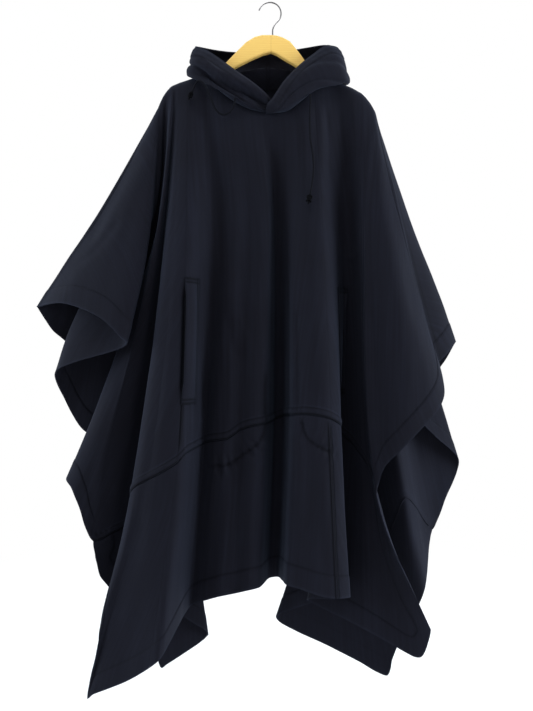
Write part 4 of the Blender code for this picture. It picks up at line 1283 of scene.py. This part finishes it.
def add_stitches(name, lines):
    """Sews along lines of points and normals, as one plain mesh."""
    seams = bpy.context.scene.poncho_seams
    verts, edges, ups = [], [], []
    for line in lines:
        start = len(verts)
        verts += [tuple(row[:3]) for row in line]
        ups += [tuple(row[3:6]) for row in line]
        edges += [(start + i, start + i + 1) for i in range(len(line) - 1)]
    mesh = bpy.data.meshes.new(name)
    mesh.from_pydata(verts, edges, [])
    mesh.attributes.new("up", "FLOAT_VECTOR", "POINT").data.foreach_set(
        "vector", np.array(ups, np.float32).ravel())
    obj = add_object(name, mesh)
    tree = bpy.data.node_groups.get("sewn_stitches") or stitch_tree()
    modifier = obj.modifiers.new("stitches", "NODES")
    modifier.node_group = tree
    values = {"Pitch": seams.stitch_pitch, "Stitch length": seams.stitch_length, "Thread": seams.thread,
              "Material": finish_of("sewing_thread")}
    for item in tree.interface.items_tree:
        if item.in_out == "INPUT" and item.name in values:
            modifier[item.identifier] = values[item.name]
    graph = bpy.context.evaluated_depsgraph_get()
    plain = bpy.data.meshes.new_from_object(obj.evaluated_get(graph), depsgraph=graph)
    obj.modifiers.remove(modifier)
    obj.data = plain
    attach(obj, "root")
    return obj


def dropped_line(route, tree, shift):
    """A line of x and z in millimetres laid on the front's cloth, as points and normals."""
    line = route_line(route, BAG_STEPS)
    heading = np.gradient(line, axis=0)
    heading /= np.linalg.norm(heading, axis=1, keepdims=True)
    line = line + np.stack([heading[:, 1], -heading[:, 0]], axis=-1) * shift
    rows = []
    for x, z in line:
        place, normal, _, _ = tree.ray_cast(Vector((x, -1.0, z)), Vector((0, 1, 0)))
        if place is not None:
            rows.append((*place, *(normal if normal.y < 0 else -normal)))
    return rows


class PONCHO_OT_stitching(bpy.types.Operator):
    """Sew the seams, hems, pockets and the hood's casing"""
    bl_idname = "poncho.stitching"
    bl_label = "Stitching"

    def execute(self, context):
        graph = context.evaluated_depsgraph_get()
        tops = {name: BVHTree.FromObject(bpy.data.objects["cloth_" + name], graph)
                for name in BAG_PIECES}
        bags = {name: [] for name in tops}
        for *_, route in BAG_LINES:
            for shift in (-BAG_STITCHES, BAG_STITCHES):
                for name, tree in tops.items():
                    rows = dropped_line(route, tree, shift)
                    if len(rows) > 3:
                        bags[name].append(rows)
        for piece in [p for p in made.values() if isinstance(p, ClothPiece)]:
            lines = piece.sewn_lines() + bags.get(piece.node, [])
            if lines:
                piece.stitches = add_stitches("stitches_" + piece.node, lines)
        return {"FINISHED"}


# Drawcords and knots

# The frame's cord routes, in metres.
CORD_ROUTES = {
    "drawcord_right": [(-0.071, -0.0455, -0.2166), (-0.073, -0.044, -0.231), (-0.080, -0.041, -0.242),
                       (-0.094, -0.038, -0.248), (-0.108, -0.037, -0.241), (-0.120, -0.038, -0.218),
                       (-0.130, -0.043, -0.194), (-0.139, -0.046, -0.184), (-0.146, -0.044, -0.181),
                       (-0.153, -0.039, -0.188), (-0.160, -0.033, -0.200)],
    "drawcord_left": [(0.082, -0.0463, -0.2087), (0.082, -0.048, -0.220), (0.0815, -0.047, -0.238),
                      (0.081, -0.045, -0.268), (0.082, -0.048, -0.300), (0.086, -0.054, -0.330),
                      (0.088, -0.059, -0.362), (0.085, -0.062, -0.392), (0.080, -0.0652, -0.418)],
}
# Each cord's knot, and half its size in millimetres.
KNOTS = {"drawcord_right": ("knot_right", (5.5, 5.0, 6.5)),
         "drawcord_left": ("knot_left", (6.5, 6.0, 8.5))}
ROUTE_CURVE_STEPS = 40             # steps of the curve from one point of a route to the next
CORD_STEP = 0.55 * MM              # from one ring of the cord's mesh to the next
CORD_SIDES, KNOT_SIDES = 20, 14    # points in a ring
KNOT_STRAND, TAIL_STRAND = 0.88, 0.95   # thickness where it is pulled tight, against the cord's
KNOT_STEPS = 96                    # steps once round the knot
KNOT_GAP = 0.3 * MM                # between the cord's end and its knot
BRAID_STRANDS = 4                  # strands each way round
BRAID_TURN = 11 * MM               # length in which a strand goes once round
BRAID_DEPTH = 0.16 * MM            # height of its ridges


def swept_tube(path, radius, around):
    """A closed tube along a path, with a braid's crossing ridges, as points, faces and UV."""
    heading = np.gradient(path, axis=0)
    heading /= np.linalg.norm(heading, axis=1, keepdims=True)
    side = np.cross(heading[0], (0.3, 0.2, 1.0))
    lengths = arc_lengths(path)
    verts, flat = [], []
    for i, (place, ahead) in enumerate(zip(path, heading)):
        side = side - ahead * (side @ ahead)
        side /= np.linalg.norm(side)
        other = np.cross(ahead, side)
        ends = min(lengths[i], lengths[-1] - lengths[i])
        round_end = math.sqrt(max(1 - max(1 - ends / radius, 0) ** 2, 0.02))
        turn = lengths[i] / BRAID_TURN * math.tau
        for k in range(around):
            angle = math.tau * k / around
            braid = max(math.cos(BRAID_STRANDS * angle + BRAID_STRANDS * turn),
                        math.cos(BRAID_STRANDS * angle - BRAID_STRANDS * turn))
            here = (radius - BRAID_DEPTH + BRAID_DEPTH * braid) * round_end
            verts.append(place + (side * math.cos(angle) + other * math.sin(angle)) * here)
            flat.append((angle * radius, lengths[i]))
    faces = []
    for i in range(len(path) - 1):
        for k in range(around):
            a, b = i * around + k, i * around + (k + 1) % around
            faces.append((a, b, b + around, a + around))
    for ring, turn in ((0, -1), (len(path) - 1, 1)):
        verts.append(path[ring])
        flat.append((0.0, lengths[ring]))
        for k in range(around):
            a, b = ring * around + k, ring * around + (k + 1) % around
            faces.append((a, b, len(verts) - 1)[::turn])
    return np.array(verts), faces, flat


def tube_mesh(name, parts):
    """One mesh of swept tubes, their faces outwards."""
    verts, faces, flat = [], [], []
    for points, loops, places in parts:
        faces += [tuple(v + len(verts) for v in face) for face in loops]
        verts += [tuple(p) for p in points]
        flat += places
    mesh = bpy.data.meshes.new(name)
    mesh.from_pydata(verts, [], faces)
    bm = bmesh.new()
    bm.from_mesh(mesh)
    bmesh.ops.recalc_face_normals(bm, faces=bm.faces)
    bm.to_mesh(mesh)
    bm.free()
    uv = mesh.uv_layers.new(name="along_cord")
    for loop in mesh.loops:
        uv.data[loop.index].uv = flat[loop.vertex_index]
    mesh.shade_smooth()
    return mesh


def knot_parts(end, heading, size, radius):
    """An overhand knot tied in the cord's end, with the short end below it."""
    along = Vector(heading)
    turn = Vector((0, 0, 1)).rotation_difference(along).to_matrix()
    centre = Vector(end) + along * (size[2] + KNOT_GAP)
    strand = radius * KNOT_STRAND
    loop = []
    for t in np.linspace(0, math.tau, KNOT_STEPS + 1)[:-1]:
        x = (math.sin(t) + 2 * math.sin(2 * t)) / 2.9 * (size[0] - strand)
        y = -math.sin(3 * t) * (size[1] - strand)
        z = (math.cos(t) - 2 * math.cos(2 * t)) / 2.9 * (size[2] - strand)
        loop.append(tuple(centre + turn @ Vector((x, y, z))))
    loop = np.array(loop + loop[:2])
    tail = [Vector(end) - along * 1.5 * MM, centre, centre + along * (size[2] + 3 * MM)]
    tail = route_line([tuple(p) for p in tail], 10, unit=1)
    return [swept_tube(loop, strand, KNOT_SIDES), swept_tube(tail, radius * TAIL_STRAND, KNOT_SIDES)]


class PONCHO_OT_drawcords(bpy.types.Operator):
    """Lay the braided drawcords and tie their knots"""
    bl_idname = "poncho.drawcords"
    bl_label = "Drawcords"

    def execute(self, context):
        diameter = context.scene.poncho_cords.diameter
        for node, route in CORD_ROUTES.items():
            knot, size = KNOTS[node]
            line = route_line(route, ROUTE_CURVE_STEPS, unit=1)
            lengths = arc_lengths(line)
            wanted = np.linspace(0, lengths[-1], int(lengths[-1] / CORD_STEP))
            path = np.stack([np.interp(wanted, lengths, line[:, k]) for k in range(3)], axis=-1)
            name, parts = "cord_" + node, [swept_tube(path, diameter / 2, CORD_SIDES)]
            cord = add_piece(name, tube_mesh(name, parts), finish_of("braided_cord"))
            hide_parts(node)
            heading = (path[-1] - path[-2]) / np.linalg.norm(path[-1] - path[-2])
            parts = knot_parts(path[-1], heading, [s * MM for s in size], diameter / 2)
            name = "tied_" + knot
            tied = add_piece(name, tube_mesh(name, parts), finish_of("knot_painted_shade_cord"))
            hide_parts(knot)
        return {"FINISHED"}


# Hanger

JOINT_INSET = 0.5 * MM             # how far the glued joint stays inside the arms' outline
JOINT_BITE = 0.05 * MM             # how far it goes into each arm


def joint_mesh():
    """The glued joint that closes the seam between the hanger's two arms."""
    ends = []
    for node, side in (("hanger_arm_right", 1), ("hanger_arm_left", -1)):
        points = np.array([v.co[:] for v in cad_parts[node].data.vertices])
        reach = (points[:, 0] * side).max()
        ends.append((side * reach, points[points[:, 0] * side > reach - WELD]))
    (right, corners), (left, _) = ends
    middle = (corners.min(0) + corners.max(0)) / 2
    corners = corners - np.sign(corners - middle) * JOINT_INSET
    bm = bmesh.new()
    for x in (right - JOINT_BITE, left + JOINT_BITE):
        for corner in corners:
            bm.verts.new((x, *corner[1:]))
    hull = bmesh.ops.convex_hull(bm, input=bm.verts)
    inside = [item for item in hull["geom_interior"] + hull["geom_unused"]
              if isinstance(item, bmesh.types.BMVert)]
    bmesh.ops.delete(bm, geom=list(set(inside)), context="VERTS")
    bmesh.ops.recalc_face_normals(bm, faces=bm.faces)
    mesh = bpy.data.meshes.new("hanger_joint")
    bm.to_mesh(mesh)
    bm.free()
    return mesh


class PONCHO_OT_hanger(bpy.types.Operator):
    """Give the hanger its varnished wood and the hook its polish"""
    bl_idname = "poncho.hanger"
    bl_label = "Hanger"

    def execute(self, context):
        for node, name in (("hanger_arm_right", "varnished_wood"), ("hanger_arm_left", "varnished_wood"),
                           ("hanger_hook", "polished_steel")):
            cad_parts[node].material_slots[0].material = finish_of(name)
        add_piece("hanger_joint", joint_mesh(), finish_of("joint_wood"))
        return {"FINISHED"}


# Stage

CAMERA_X = -0.007                  # the camera's place to the side of the hook
PHOTO_HEIGHT, FOCAL_PIXELS = 711, 666.7   # the picture's height and the lens, in pixels
SENSOR = 36.0                      # millimetres
SIDE_GLOW = 0.4                    # how much brighter the room is straight to the sides
FLOOR_RADIUS = 2.6
# Each light: place, aim, width, its share of the side light's power, colour.
LIGHTS = {
    "left_light": ((-2.3, -0.45, -0.3), (0, 0, -0.75), 1.6, 1.0, (0.79, 0.90, 1.0)),
    "right_light": ((2.3, -0.55, -0.3), (0, 0, -0.75), 1.6, 1.45, (0.85, 0.93, 1.0)),
    "top_light": ((-0.3, -0.9, 1.3), (0, 0, -0.5), 1.2, 0.22, (1.0, 0.99, 0.97)),
}


def white_room(bright, dim):
    """A room that looks white and lights less from the front, so that the folds keep their shade."""
    world = bpy.data.worlds.new("white_room")
    world.use_nodes = True
    n = Nodes(world.node_tree)
    way = n.add("ShaderNodeSeparateXYZ", {0: n.add("ShaderNodeTexCoord").outputs[0]}).outputs
    behind = n.add("ShaderNodeMapRange", {0: way["Y"], 1: -0.75, 2: 0.25, 3: bright * dim, 4: bright},
                   interpolation_type="SMOOTHSTEP").outputs[0]
    glow = n.maths("MULTIPLY", n.maths("POWER", way["X"], 2.0), SIDE_GLOW * bright)
    looked_at = n.add("ShaderNodeLightPath").outputs["Is Camera Ray"]
    background = n.tree.nodes["Background"]
    n.put(background.inputs["Color"], WHITE)
    n.put(background.inputs["Strength"], n.between(looked_at, n.maths("ADD", behind, glow), bright))
    return world


def add_light(name, place, aim, width, power, colour):
    light = bpy.data.lights.new(name, "AREA")
    light.shape, light.size, light.energy, light.color = "DISK", width, power, colour
    obj = add_object(name, light)
    obj.location = place
    obj.rotation_euler = (Vector(aim) - Vector(place)).to_track_quat("-Z", "Y").to_euler()


class PONCHO_OT_stage(bpy.types.Operator):
    """Set the camera, the soft lights, the white room and the pale floor"""
    bl_idname = "poncho.stage"
    bl_label = "Stage"

    def execute(self, context):
        scene, stage = context.scene, context.scene.poncho_stage
        camera = bpy.data.cameras.new("camera")
        camera.sensor_fit, camera.sensor_height = "VERTICAL", SENSOR
        camera.sensor_width = SENSOR
        camera.lens = SENSOR * FOCAL_PIXELS / PHOTO_HEIGHT
        eye = add_object("camera", camera)
        eye.location = (CAMERA_X, -stage.camera_distance, stage.camera_height)
        eye.rotation_euler = (math.radians(90), 0, 0)
        scene.camera = eye
        scene.world = white_room(stage.sky, stage.dim)
        scene.view_settings.view_transform = "Standard"
        for name, (place, aim, width, share, colour) in LIGHTS.items():
            add_light(name, place, aim, width, stage.side_light * share, colour)
        bm = bmesh.new()
        bmesh.ops.create_circle(bm, cap_ends=True, segments=96, radius=FLOOR_RADIUS)
        mesh = bpy.data.meshes.new("floor")
        bm.to_mesh(mesh)
        bm.free()
        mesh.materials.append(finish_of("pale_floor"))
        floor = add_object("floor", mesh)
        floor.location = (0, 0, BOX_OF_FRAME[0][2] - stage.floor_drop)
        return {"FINISHED"}


class PONCHO_OT_declare(bpy.types.Operator):
    """Does nothing; no flat cut is stated here"""
    bl_idname = "poncho.declare"
    bl_label = "Flat Cut"

    def execute(self, context):
        return {"FINISHED"}


OPERATORS = (PONCHO_OT_stage, PONCHO_OT_drawcords, PONCHO_OT_body, PONCHO_OT_pockets, PONCHO_OT_hood,
             PONCHO_OT_stitching, PONCHO_OT_hanger, PONCHO_OT_declare)


class PONCHO_PT_panel(bpy.types.Panel):
    """Sizes, colours and steps of the poncho"""
    bl_idname = "PONCHO_PT_panel"
    bl_label = "Poncho"
    bl_space_type = "VIEW_3D"
    bl_region_type = "UI"
    bl_category = "Poncho"

    def draw(self, context):
        for name, group in GROUPS.items():
            box = self.layout.box()
            box.label(text=group.__doc__)
            for key in group.__annotations__:
                box.prop(getattr(context.scene, name), key)
        for operator in OPERATORS:
            self.layout.operator(operator.bl_idname)


def register():
    for one in (*GROUPS.values(), *OPERATORS, PONCHO_PT_panel):
        bpy.utils.register_class(one)
    for name, group in GROUPS.items():
        setattr(bpy.types.Scene, name, bpy.props.PointerProperty(type=group))


def unregister():
    for name in GROUPS:
        delattr(bpy.types.Scene, name)
    for one in (PONCHO_PT_panel, *reversed(OPERATORS), *reversed(list(GROUPS.values()))):
        bpy.utils.unregister_class(one)


def main():
    register()
    for operator in OPERATORS:
        group, name = operator.bl_idname.split(".")
        getattr(getattr(bpy.ops, group), name)()


if __name__ == "__main__":
    main()
